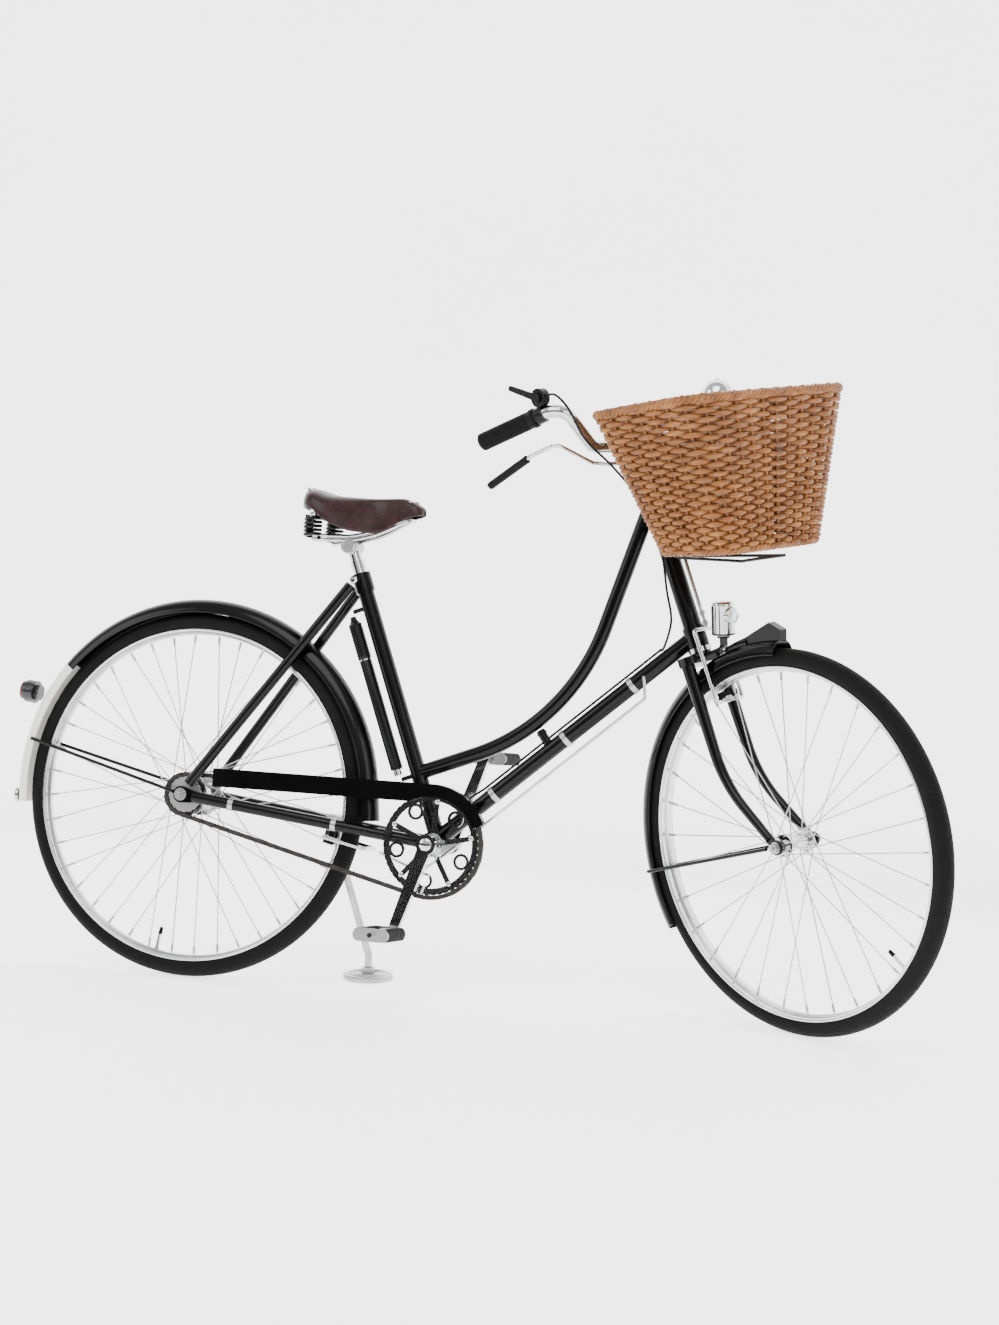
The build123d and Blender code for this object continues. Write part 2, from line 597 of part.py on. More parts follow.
GRIP_LENGTH = 106.0
grip_back = (bar_right[4] - bar_right[3]).normalized()
with BuildPart() as grips:
    for side in (1, -1):
        bar_end = Vector(bar_right[4].X, -side * bar_right[4].Y, bar_right[4].Z)
        forward = Vector(-grip_back.X, side * grip_back.Y, -grip_back.Z)
        grip_plane = Plane(origin=bar_end, z_dir=forward)
        add_disc(grip_plane, 15.5, -4, GRIP_LENGTH, bore=BAR_R + RUNNING)
        add_disc(grip_plane, 15.5, -7, -4 + 0.01)
        add_disc(grip_plane, 17, GRIP_LENGTH - 5, GRIP_LENGTH, bore=BAR_R + RUNNING)
export(grips, "grips", FRONT_ON_STAND)

# ---------------------------------------------------------------- brake levers
LEVER_PIVOT = clamp + Vector(4, 0, -25)
lever_right = [
    Vector(-134, -264, -28), Vector(-36, -258, 24), Vector(8, -244, 42), Vector(14, -168, 6), Vector(0, -120, 0),
    Vector(0, -30, 0)
]
lever_right = [LEVER_PIVOT + point for point in lever_right]
for side, name in ((-1, "right"), (1, "left")):
    lever_points = lever_right if side < 0 else mirrored(lever_right)
    with BuildPart() as brake_lever:
        add_rod(lever_points, 3.6, bend=14)
        sleeve_way = (lever_points[1] - lever_points[0]).normalized()
        add_disc(Plane(origin=lever_points[0], z_dir=sleeve_way), 6.5, -4, 96)
    export(brake_lever, f"{name}_brake_lever", FRONT_ON_STAND)

# ---------------------------------------------------------------- shifter and bell
shifter_at = bar_right[3] + grip_back * 42
SHIFT_PIVOT = shifter_at + Vector(0, 0, 29)
with BuildPart() as shifter_body:
    add_disc(cross_plane(SHIFT_PIVOT.X, SHIFT_PIVOT.Z), 16, SHIFT_PIVOT.Y - 7, SHIFT_PIVOT.Y + 7)
    add_disc(Plane(origin=shifter_at, z_dir=grip_back), 14.5, -7, 7)
    add_disc(Plane(origin=shifter_at, z_dir=grip_back), BAR_R + RUNNING, -20, 20, mode=Mode.SUBTRACT)
export(shifter_body, "shifter_body", FRONT_ON_STAND)

with BuildPart() as shift_lever:
    add_disc(cross_plane(SHIFT_PIVOT.X, SHIFT_PIVOT.Z), 8, SHIFT_PIVOT.Y - 11, SHIFT_PIVOT.Y - 7.3)
    with BuildSketch(side_plane(SHIFT_PIVOT.Y - 7.3)) as blade:
        with Locations((SHIFT_PIVOT.X, SHIFT_PIVOT.Z)):
            Circle(6)
        with Locations((SHIFT_PIVOT.X - 62, SHIFT_PIVOT.Z + 16)):
            Circle(4.5)
        make_hull()
    extrude(blade.sketch, amount=3.4)
export(shift_lever, "shift_lever", FRONT_ON_STAND)

BELL_R = 27.0
bar_left = mirrored(bar_right)
bar_climb = bar_left[3] - bar_left[2]
bell_seat = bar_left[2] + bar_climb * 0.38
bell_at = bell_seat + Vector(-20, 4, 42)
with BuildPart() as bell:
    bell_plane = Plane(origin=bell_at)
    with BuildSketch(Plane(origin=bell_at, x_dir=(1, 0, 0), z_dir=(0, -1, 0))) as dome:
        with BuildLine() as dome_line:
            ThreePointArc((0, BELL_R), (BELL_R * 0.72, BELL_R * 0.7), (BELL_R, 2))
            Polyline((BELL_R, 2), (0, 2), (0, BELL_R))
        make_face(dome_line.line)
    revolve(dome.sketch, axis=Axis(bell_at, (0, 0, 1)))
    add_disc(bell_plane, 22, -6, 2)
    add_rod([bell_seat + Vector(-9, 0, 6), bell_at - Vector(0, 0, 5)], 5)
    add_disc(Plane(origin=bell_seat, z_dir=bar_climb), 14.5, -7, 7)
    add_disc(Plane(origin=bell_seat, z_dir=bar_climb), BAR_R + RUNNING, -30, 30, mode=Mode.SUBTRACT)
export(bell, "bell", FRONT_ON_STAND)

BELL_PIVOT = bell_at + Vector(-17, 0, -9)
with BuildPart() as bell_lever:
    add_disc(Plane(origin=BELL_PIVOT), 4.5, -1.4, 2.2)
    with BuildSketch(Plane(origin=BELL_PIVOT + Vector(0, 0, -1.4))) as tab:
        Circle(4)
        with Locations((-24, 0)):
            Circle(6.5)
        make_hull()
    extrude(tab.sketch, amount=2.4)
export(bell_lever, "bell_lever", FRONT_ON_STAND)

# ================================================================ basket
RIM_TILT, BASE_TILT = math.radians(7.5), math.radians(3.5)
RIM_BACK, BASE_BACK = Vector(852, 0, 1059), Vector(940, 0, 817)
RIM_DEPTH, RIM_WIDTH, RIM_CORNER = 270.0, 412.0, 38.0
BASE_DEPTH, BASE_WIDTH, BASE_CORNER = 176.0, 248.0, 36.0
BASKET_WALL = 7.0


def tilted_plane(back, tilt, depth):
    """Gives a plane that rises ahead from a back edge, centred along its depth."""
    along = Vector(math.cos(tilt), 0, math.sin(tilt))
    up = Vector(-math.sin(tilt), 0, math.cos(tilt))
    return Plane(origin=back + along * (depth / 2), x_dir=along, z_dir=up)


def add_basket_loft(inset, lift, mode=Mode.ADD):
    """Adds or cuts the basket's tapering body, drawn in by an inset and raised by a lift."""
    rim_plane = tilted_plane(RIM_BACK, RIM_TILT, RIM_DEPTH)
    base_plane = tilted_plane(BASE_BACK, BASE_TILT, BASE_DEPTH)
    with BuildSketch(base_plane.offset(lift)) as base_outline:
        RectangleRounded(BASE_DEPTH - 2 * inset, BASE_WIDTH - 2 * inset, BASE_CORNER - inset)
    with BuildSketch(rim_plane) as rim_outline:
        RectangleRounded(RIM_DEPTH - 2 * inset, RIM_WIDTH - 2 * inset, RIM_CORNER - inset)
    loft([base_outline.sketch, rim_outline.sketch], mode=mode)


with BuildPart() as basket:
    add_basket_loft(0, 0)
    add_basket_loft(BASKET_WALL, BASKET_WALL, mode=Mode.SUBTRACT)
export(basket, "basket", FRONT_ON_STAND)

with BuildPart() as basket_bracket:
    add_disc(HEAD, 26, STEERER_TOP - 7, STEERER_TOP - 3, bore=STEERER_R + 0.1)
    for side in (1, -1):
        wire = [at_head(24, side * 15, STEERER_TOP - 5), at_head(26, side * 15, 528), Vector(1078, side * 52, 808)]
        add_rod(wire, 2.8, bend=16)
    add_rod([Vector(1076, -56, 808), Vector(1076, 56, 808)], 2.8)
export(basket_bracket, "basket_bracket", FRONT_ON_STAND)

# ================================================================ head lamp
LAMP_X, LAMP_LOW, LAMP_HIGH = 983.0, 673.0, 731.0
with BuildPart() as head_lamp:
    can_plane = Plane(origin=(LAMP_X, 0, 0))
    add_disc(can_plane, 19, LAMP_LOW, LAMP_HIGH)
    fillet(head_lamp.edges().group_by(Axis.Z)[-1], 7)
    lens_plane = Plane(origin=(LAMP_X, 0, LAMP_LOW + 34), z_dir=(1, 0, 0))
    add_disc(lens_plane, 14, 0, 20.5)
export(head_lamp, "head_lamp", FRONT_ON_STAND)

with BuildPart() as lamp_bracket:
    with BuildLine() as bracket_route:
        FilletPolyline(at_head(19.2, 0, 355), Vector(LAMP_X, 0, 652), Vector(LAMP_X, 0, LAMP_LOW - 4), radius=8)
    with BuildSketch(Plane(origin=bracket_route.line @ 0, x_dir=(0, 1, 0), z_dir=bracket_route.line % 0)) as strap:
        Rectangle(16, 4)
    sweep(strap.sketch, path=bracket_route.line)
    add_disc(Plane(origin=(LAMP_X, 0, 0)), 11, LAMP_LOW - 5, LAMP_LOW)
export(lamp_bracket, "lamp_bracket", FRONT_ON_STAND)

# ================================================================ brakes
REAR_BRAKE = Plane(
    origin=rear_hub,
    x_dir=(-math.sin(math.radians(REAR_BRAKE_ANGLE)), 0, math.cos(math.radians(REAR_BRAKE_ANGLE))),
    z_dir=(math.cos(math.radians(REAR_BRAKE_ANGLE)), 0, math.sin(math.radians(REAR_BRAKE_ANGLE))),
)


def build_brake(end, plane, ahead, yoke_up, half_width, pad_top, place, pull_rod):
    """Makes one end's stirrup and its pair of rubber blocks, which pull out to the rim."""
    low = pad_top - PAD_THICK
    with BuildPart() as stirrup:
        for side in (1, -1):
            route = [(ahead, 0, yoke_up), (ahead, side * half_width, yoke_up)]
            route += [(ahead, side * half_width, low - 5), (ahead, side * PAD_Y, low - 5)]
            add_rod([plane.from_local_coords(Vector(*p)) for p in route], STIRRUP_R, bend=6)
            holder = plane.from_local_coords(Vector(ahead, side * PAD_Y, low - 8))
            with BuildSketch(Plane(origin=holder, x_dir=plane.x_dir, z_dir=plane.z_dir)) as shoe:
                RectangleRounded(26, 9, 2)
            extrude(shoe.sketch, amount=8)
        if pull_rod:
            rod = [plane.from_local_coords(Vector(ahead, 0, up)) for up in (yoke_up, pull_rod)]
            add_rod(rod, STIRRUP_R)
    export(stirrup, f"{end}_stirrup", place)
    with BuildPart() as blocks:
        for side in (1, -1):
            pad = plane.from_local_coords(Vector(ahead, side * PAD_Y, low + 0.02))
            with BuildSketch(Plane(origin=pad, x_dir=plane.x_dir, z_dir=plane.z_dir)) as rubber:
                RectangleRounded(24, 7.6, 1.5)
            extrude(rubber.sketch, amount=PAD_THICK - 0.02)
    export(blocks, f"{end}_brake_blocks", place)


build_brake("front", HEAD, FRONT_BRAKE_U, 396, STIRRUP_Y, PAD_TOP - 2.5, FRONT_ON_STAND, 696)
build_brake("rear", REAR_BRAKE, 0, 352, 29, PAD_TOP + 2, ON_STAND, 0)

ROD_DROP, ROD_Y = 36.0, -22.0
rod_shift = down_under * ROD_DROP + Vector(0, ROD_Y, 0)
with BuildPart() as rear_brake_rods:
    rod_root = down_high - down_dir * 112 + down_under * 3 + Vector(0, -17.5, 0)
    rod_top = down_high - down_dir * 132 + rod_shift
    rod_low = down_low + down_dir * 24 + rod_shift
    rod_back = Vector(452, ROD_Y, 224)
    rod_end = Vector(368, -4, 252)
    add_rod([rod_root, rod_top, rod_low, rod_back, rod_end], 2.8, bend=10)
export(rear_brake_rods, "rear_brake_rods")

# ================================================================ gear cable
CABLE_R = 2.2
cable_lift = down_under * -(DOWN_R + CABLE_R + 1.2) + Vector(0, -6, 0)
cable_route = [
    down_high - down_dir * 60 + cable_lift, down_high - down_dir * 150 + cable_lift + Vector(0, 0.6, 0),
    down_high - down_dir * 260 + cable_lift, down_low + down_dir * 210 + cable_lift + Vector(0, 0.6, 0),
    down_low + down_dir * 120 + cable_lift, down_low + down_dir * 60 + cable_lift + Vector(0, -16, 4)
]
with BuildPart() as gear_cable:
    add_rod(cable_route, CABLE_R)
export(gear_cable, "gear_cable")

# ================================================================ pump
PUMP_BACK = 37.0
with BuildPart() as pump:
    pump_foot = SEAT_TUBE.from_local_coords(Vector(-PUMP_BACK, 0, PUMP_PEGS[0] + 8))
    pump_plane = Plane(origin=pump_foot, z_dir=SEAT_TUBE.z_dir)
    add_disc(pump_plane, 6, 0, 12)
    add_disc(pump_plane, 11.2, 12, 218)
    add_disc(pump_plane, 12.6, 218, 286)
    add_disc(pump_plane, 6, 286, 298)
    for peg in PUMP_PEGS:
        peg_plane = Plane(origin=SEAT_TUBE.from_local_coords(Vector(0, 0, peg)), z_dir=-SEAT_TUBE.x_dir)
        add_disc(peg_plane, 4.4, 0, 40, mode=Mode.SUBTRACT)
export(pump, "pump")

# ================================================================ seat
POST_TOP = 560.0
with BuildPart() as seat_post:
    add_disc(SEAT_TUBE, POST_R, 392, POST_TOP - 30)
    add_disc(SEAT_TUBE, 11, POST_TOP - 31, POST_TOP)
export(seat_post, "seat_post")

SADDLE_BACK, SADDLE_NOSE, SADDLE_TOP = 188.0, 411.0, 896.0
with BuildPart() as saddle_top:
    with BuildSketch(Plane.XY.offset(850)):
        with Locations((SADDLE_BACK + 50, 44), (SADDLE_BACK + 50, -44)):
            Circle(50)
        with Locations((SADDLE_NOSE - 22, 0)):
            Circle(22)
        make_hull()
    extrude(amount=SADDLE_TOP - 850)
    fillet(saddle_top.edges().group_by(Axis.Z)[-1], 14)
export(saddle_top, "saddle_top")

post_head = SEAT_TUBE.from_local_coords(Vector(0, 0, POST_TOP))
SPRING_X, SPRING_Y = 216.0, 52.0
with BuildPart() as saddle_frame:
    for side in (1, -1):
        rail = [
            Vector(384, side * 8, 846), Vector(318, side * 18, 812), Vector(270, side * 20, 808),
            Vector(SPRING_X, side * SPRING_Y, 803)
        ]
        add_rod(rail, 3.6, bend=18)
        coil_plane = Plane(origin=(SPRING_X, side * SPRING_Y, 0))
        add_disc(coil_plane, 17, 802, 846)
    add_rod([Vector(SPRING_X, -70, 843), Vector(SPRING_X, 70, 843)], 4)
    add_rod([Vector(384, -14, 845), Vector(384, 14, 845)], 4)
    add_disc(cross_plane(post_head.X, post_head.Z - 3), 12.5, -27, 27)
    add_disc(SEAT_TUBE, 11.02, 480, POST_TOP + 0.02, mode=Mode.SUBTRACT)
export(saddle_frame, "saddle_frame")

# ================================================================ side stand
stay_back, stay_ahead = Vector(24, DROPOUT_Y, 327), Vector(455, 26, 277)
stay_way = (stay_ahead - stay_back).normalized()
stand_stay = stay_back + (stay_ahead - stay_back) * ((STAND_X - 24) / (455 - 24))
STAND_PIVOT = Vector(STAND_X, 43, STAND_Z)
with BuildPart() as kickstand_bracket:
    add_disc(Plane(origin=stand_stay, z_dir=stay_way), 13, -14, 14)
    with BuildSketch(side_plane(43)) as lug:
        with Locations((STAND_X, STAND_Z)):
            Circle(9)
        with Locations((STAND_X, STAND_Z + 18)):
            Circle(11)
        make_hull()
    extrude(lug.sketch, amount=6)
    add_disc(cross_plane(STAND_X, STAND_Z), 4, 42, 53)
    add_disc(Plane(origin=stand_stay, z_dir=stay_way), CHAIN_STAY_R + 0.02, -40, 40, mode=Mode.SUBTRACT)
export(kickstand_bracket, "kickstand_bracket")

to_bicycle = ON_STAND.inverse()
foot_at = (ON_STAND * Location((FOOT_X, 0, 0))).position
foot_world = Vector(foot_at.X, FOOT_Y + SHIFT_Y, 0)


def above_ground(height):
    """Gives the plane over the stand's foot, level with the ground at a height."""
    return Plane(to_bicycle * Location((foot_world.X, foot_world.Y, height)))


with BuildPart() as kickstand_foot:
    foot_plane = above_ground(0)
    add_disc(foot_plane, FOOT_R, 0, FOOT_T)
    fillet(kickstand_foot.edges().filter_by(GeomType.CIRCLE), 3)
    add_disc(foot_plane, 12, FOOT_T - 1, FOOT_T + 12)
    add_disc(foot_plane, 7.5, FOOT_T + 2, FOOT_T + 20, mode=Mode.SUBTRACT)
export(kickstand_foot, "kickstand_foot")

leg_foot = above_ground(FOOT_T + 2.4).origin
leg_knee = above_ground(FOOT_T + 34).origin
with BuildPart() as kickstand_leg:
    add_disc(cross_plane(STAND_X, STAND_Z), 10, 43.4, 52)
    add_rod([Vector(STAND_X, 48.5, STAND_Z - 8), leg_knee, leg_foot], 6.8, bend=16)
    add_disc(cross_plane(STAND_X, STAND_Z), 4 + RUNNING, 30, 70, mode=Mode.SUBTRACT)
export(kickstand_leg, "kickstand_leg")
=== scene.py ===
import json
import logging
import math
from bisect import bisect
from dataclasses import dataclass, field, replace
from enum import Enum
from typing import Callable, Iterable, Optional, Sequence

import bpy
from mathutils import Matrix, Vector


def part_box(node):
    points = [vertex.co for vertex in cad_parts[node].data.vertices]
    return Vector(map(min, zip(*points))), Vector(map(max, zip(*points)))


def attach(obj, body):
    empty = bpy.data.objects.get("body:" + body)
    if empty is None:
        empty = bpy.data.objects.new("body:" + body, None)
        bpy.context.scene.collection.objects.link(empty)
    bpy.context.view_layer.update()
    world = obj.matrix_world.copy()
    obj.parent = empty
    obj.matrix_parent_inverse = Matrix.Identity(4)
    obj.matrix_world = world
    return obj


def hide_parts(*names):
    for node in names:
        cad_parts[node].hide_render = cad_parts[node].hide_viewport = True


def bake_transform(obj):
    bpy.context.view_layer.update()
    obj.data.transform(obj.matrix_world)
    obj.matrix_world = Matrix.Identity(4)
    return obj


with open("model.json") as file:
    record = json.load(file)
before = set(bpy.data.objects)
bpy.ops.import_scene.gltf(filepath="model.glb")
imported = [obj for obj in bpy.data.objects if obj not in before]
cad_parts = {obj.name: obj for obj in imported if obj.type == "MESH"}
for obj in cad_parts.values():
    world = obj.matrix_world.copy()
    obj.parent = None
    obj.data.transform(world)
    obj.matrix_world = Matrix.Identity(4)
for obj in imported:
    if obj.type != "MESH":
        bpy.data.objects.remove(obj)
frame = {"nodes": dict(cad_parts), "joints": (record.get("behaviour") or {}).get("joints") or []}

LOG = logging.getLogger("bicycle")
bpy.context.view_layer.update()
MM = 0.001
TAU = math.tau

# The upright drawing's own measures, in millimetres and degrees.
WHEEL_R, WHEELBASE = 330.0, 1132.0
HEAD_ANGLE, SEAT_ANGLE = 68.2, 68.7
CRANK_X, CRANK_Z = 477.0, 275.0
REAR_GUARD_R, FRONT_GUARD_R, GUARD_SKIRT, GUARD_SIDE = 356.0, 345.0, 24.0, 24.6


class Finish(Enum):
    """The finishes that the bicycle's pieces are dressed in."""

    ENAMEL = "frame_enamel"
    GUARD = "guard_enamel"
    CHROME = "bright_chrome"
    STEEL = "plain_steel"
    RIM = "rim_steel"
    TYRE = "tyre_rubber"
    RUBBER = "black_rubber"
    LEATHER = "saddle_leather"
    WICKER = "wicker"
    RED_LENS = "red_lens"
    PLASTIC = "black_plastic"
    CHAIN = "roller_chain"
    GLASS = "lens_glass"
    FLOOR = "studio_floor"


# ---------------------------------------------------------------- placing
def joint(name: str) -> dict:
    """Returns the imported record's joint of that name."""
    return next(j for j in frame["joints"] if j["name"] == name)


@dataclass(frozen=True)
class Stance:
    """Turns upright, straight-ahead bicycle millimetres into the leaned and steered scene.

    The drawing has X ahead, Y to the left and Z up, with the rear axle above its origin.
    """

    wheel_radius: float = WHEEL_R
    crank: tuple[float, float] = (CRANK_X, CRANK_Z)
    head_angle: float = HEAD_ANGLE
    head_base: tuple[float, float] = (1063.292, 302.519)

    def rear_matrix(self) -> Matrix:
        """Gives the matrix, in metres, that places the frame.

        Returns:
            The matrix from drawing metres to the scene.
        """
        hub = Vector(joint("rear_wheel_spin")["pos_m"])
        left = Vector(joint("rear_wheel_spin")["axis"]).normalized()
        reach = (Vector(joint("crank_spin")["pos_m"]) - hub).normalized()
        turn = math.atan2(self.crank[1] - self.wheel_radius, self.crank[0])
        ahead = (reach * math.cos(turn) - reach.cross(left) * math.sin(turn)).normalized()
        up = ahead.cross(left)
        return self._matrix(ahead, left, up, hub - up * self.wheel_radius * MM)

    def head_matrix(self) -> Matrix:
        """Gives the matrix, in metres, of the steering axis and the turned front wheel.

        Returns:
            The matrix from metres about the steering axis to the scene.
        """
        up = Vector(joint("steering")["axis"]).normalized()
        left = Vector(joint("front_wheel_spin")["axis"]).normalized()
        return self._matrix(left.cross(up), left, up, Vector(joint("steering")["pos_m"]))

    @staticmethod
    def _matrix(ahead: Vector, left: Vector, up: Vector, origin: Vector) -> Matrix:
        """Gives the matrix with those three axes and that origin."""
        rows = [[ahead[i], left[i], up[i], origin[i]] for i in range(3)]
        return Matrix((*rows, (0, 0, 0, 1)))

    def head_local(self, x: float, y: float, z: float) -> Vector:
        """Gives a drawing point as ahead, left and up of the steering axis's base.

        Args:
            x: the place ahead, in millimetres.
            y: the place to the left.
            z: the height.

        Returns:
            The point from the steering axis's base.
        """
        angle = math.radians(self.head_angle)
        dx, dz = x - self.head_base[0], z - self.head_base[1]
        return Vector((
            dx * math.sin(angle) + dz * math.cos(angle), y,
            dz * math.sin(angle) - dx * math.cos(angle),
        ))


STANCE = Stance()
REAR = STANCE.rear_matrix()
HEAD = STANCE.head_matrix()


def on_frame(x: float, y: float, z: float) -> Vector:
    """Places a drawing point, in millimetres, on the leaning frame."""
    return REAR @ (Vector((x, y, z)) * MM)


def on_front(x: float, y: float, z: float) -> Vector:
    """Places a straight-ahead drawing point, in millimetres, on the turned front."""
    return HEAD @ (STANCE.head_local(x, y, z) * MM)


def on_head(ahead: float, left: float, up: float) -> Vector:
    """Places a point given in millimetres from the steering axis's base."""
    return HEAD @ (Vector((ahead, left, up)) * MM)


def frame_way(x: float, y: float, z: float) -> Vector:
    """Turns a drawing direction with the leaning frame."""
    return REAR.to_3x3() @ Vector((x, y, z))


def in_metres(rows: Iterable[tuple[float, float]]) -> list[tuple[float, float]]:
    """Turns millimetre (height, radius) pairs into metres."""
    return [(height * MM, reach * MM) for height, reach in rows]


def guard_arc(
    place: Callable[[float, float, float], Vector], hub_x: float, reach: float,
    start: float, sweep: float, count: int, side: float = 0.0,
) -> list[Vector]:
    """Gives points along an arc round a wheel's hub.

    Args:
        place: puts a drawing point in the scene.
        hub_x: the hub's place along the drawing.
        reach: the arc's radius, in millimetres.
        start: the first point's turn, in degrees up from ahead.
        sweep: the turn from the first point to the last.
        count: how many points there are.
        side: how far to the left they lie.

    Returns:
        The placed points, in metres.
    """
    turns = (math.radians(start + sweep * i / (count - 1)) for i in range(count))
    return [place(hub_x + reach * math.cos(a), side, WHEEL_R + reach * math.sin(a)) for a in turns]


# ---------------------------------------------------------------- mesh making
@dataclass
class Mesh:
    """Vertices and faces that are gathered up into one piece."""

    verts: list = field(default_factory=list)
    faces: list = field(default_factory=list)

    def tube(
        self, points: Sequence[Vector], radius: float | Sequence[float], sides: int = 8,
        closed: bool = False,
    ) -> "Mesh":
        """Adds a round tube along points.

        Args:
            points: the centre line, in metres.
            radius: one radius, or one for each point, in metres.
            sides: how many faces go round.
            closed: whether the last point joins the first.

        Returns:
            This mesh, so that calls can be chained.
        """
        count, start = len(points), len(self.verts)
        radii = [radius] * count if isinstance(radius, (int, float)) else list(radius)
        side = None
        for i, point in enumerate(points):
            after = points[(i + 1) % count] if closed or i < count - 1 else point
            before = points[i - 1] if closed or i else point
            along = (after - before).normalized()
            if side is None:
                side = along.orthogonal().normalized()
            side = (side - along * side.dot(along)).normalized()
            other = along.cross(side)
            for k in range(sides):
                turn = TAU * k / sides
                self.verts.append(point + (side * math.cos(turn) + other * math.sin(turn)) * radii[i])
        for i in range(count if closed else count - 1):
            for k in range(sides):
                a, b = start + i * sides + k, start + i * sides + (k + 1) % sides
                c, d = (start + ((i + 1) % count) * sides + n for n in ((k + 1) % sides, k))
                self.faces.append((a, b, c, d))
        if not closed:
            self.faces.append(tuple(range(start + sides - 1, start - 1, -1)))
            last = start + (count - 1) * sides
            self.faces.append(tuple(range(last, last + sides)))
        return self

    def lathe(
        self, base: Vector, axis: Vector, profile: Sequence[tuple[float, float]], sides: int = 32,
    ) -> "Mesh":
        """Adds a turned shape from (height, radius) pairs in metres along an axis.

        Args:
            base: where the axis starts.
            axis: the way that it points.
            profile: the pairs.
            sides: how many faces go round.

        Returns:
            This mesh, so that calls can be chained.
        """
        axis = axis.normalized()
        side = axis.orthogonal().normalized()
        other, start = axis.cross(side), len(self.verts)
        for height, radius in profile:
            for k in range(sides):
                turn = TAU * k / sides
                spread = (side * math.cos(turn) + other * math.sin(turn)) * max(radius, 1e-5)
                self.verts.append(base + axis * height + spread)
        for i in range(len(profile) - 1):
            for k in range(sides):
                n = (k + 1) % sides
                row, above = start + i * sides, start + (i + 1) * sides
                self.faces.append((row + k, row + n, above + n, above + k))
        self.faces.append(tuple(range(start + sides - 1, start - 1, -1)))
        last = start + (len(profile) - 1) * sides
        self.faces.append(tuple(range(last, last + sides)))
        return self

    def plate(self, outline: Sequence[Vector], through: Vector) -> "Mesh":
        """Adds a flat plate from its outline and the vector through its thickness.

        Args:
            outline: the corners, in order.
            through: from one face to the other.

        Returns:
            This mesh, so that calls can be chained.
        """
        start, count = len(self.verts), len(outline)
        self.verts += [*outline, *(p + through for p in outline)]
        self.faces.append(tuple(range(start + count - 1, start - 1, -1)))
        self.faces.append(tuple(range(start + count, start + 2 * count)))
        for k in range(count):
            n = (k + 1) % count
            self.faces.append((start + k, start + n, start + count + n, start + count + k))
        return self

    def grid(self, rows: Sequence[Sequence[Vector]], closed: bool = False) -> "Mesh":
        """Adds a sheet from rows of points, joined round when closed.

        Args:
            rows: rows of points, all of one length.
            closed: whether each row's ends join.

        Returns:
            This mesh, so that calls can be chained.
        """
        start, width = len(self.verts), len(rows[0])
        self.verts += [p for row in rows for p in row]
        for i in range(len(rows) - 1):
            for k in range(width if closed else width - 1):
                n = (k + 1) % width
                self.faces.append((
                    start + i * width + k, start + i * width + n,
                    start + (i + 1) * width + n, start + (i + 1) * width + k,
                ))
        return self

    def finish(
        self, name: str, body: str, finish: Finish, replaces: Iterable[str] = (),
        smooth: float = 40.0, level: int = 0,
    ) -> bpy.types.Object:
        """Makes the gathered mesh into a named piece that rides on a body.

        Args:
            name: the piece's name.
            body: the CAD body it moves with.
            finish: the finish it is dressed in.
            replaces: CAD nodes that it stands for.
            smooth: the crease angle, in degrees, below which it shades smooth.
            level: how many subdivisions it gets.

        Returns:
            The finished object.
        """
        mesh = bpy.data.meshes.new(name)
        mesh.from_pydata([tuple(v) for v in self.verts], [], self.faces)
        mesh.validate()
        mesh.update()
        piece = bpy.data.objects.new(name, mesh)
        bpy.context.scene.collection.objects.link(piece)
        mesh.materials.append(PAINTS.get(finish))
        mesh.shade_smooth()
        mesh.set_sharp_from_angle(angle=math.radians(smooth))
        if level:
            smoother = piece.modifiers.new("surface", "SUBSURF")
            smoother.levels = smoother.render_levels = level
        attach(piece, body)
        if replaces:
            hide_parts(*replaces)
        LOG.info("made %s: %d faces", name, len(self.faces))
        return piece


def smooth_path(points: Sequence[Vector], steps: int = 8) -> list[Vector]:
    """Gives a smooth line through points, as a Catmull-Rom curve.

    Args:
        points: the points that it passes through.
        steps: how many points each span gets.

    Returns:
        The line's points, the last one included.
    """
    ends = [points[0] * 2 - points[1], *points, points[-1] * 2 - points[-2]]
    line = []
    for a, b, c, d in zip(ends, ends[1:], ends[2:], ends[3:]):
        for i in range(steps):
            t = i / steps
            line.append((
                b * 2 + (c - a) * t + (a * 2 - b * 5 + c * 4 - d) * t * t
                + (b * 3 - a - c * 3 + d) * t ** 3
            ) * 0.5)
    return [*line, points[-1].copy()]


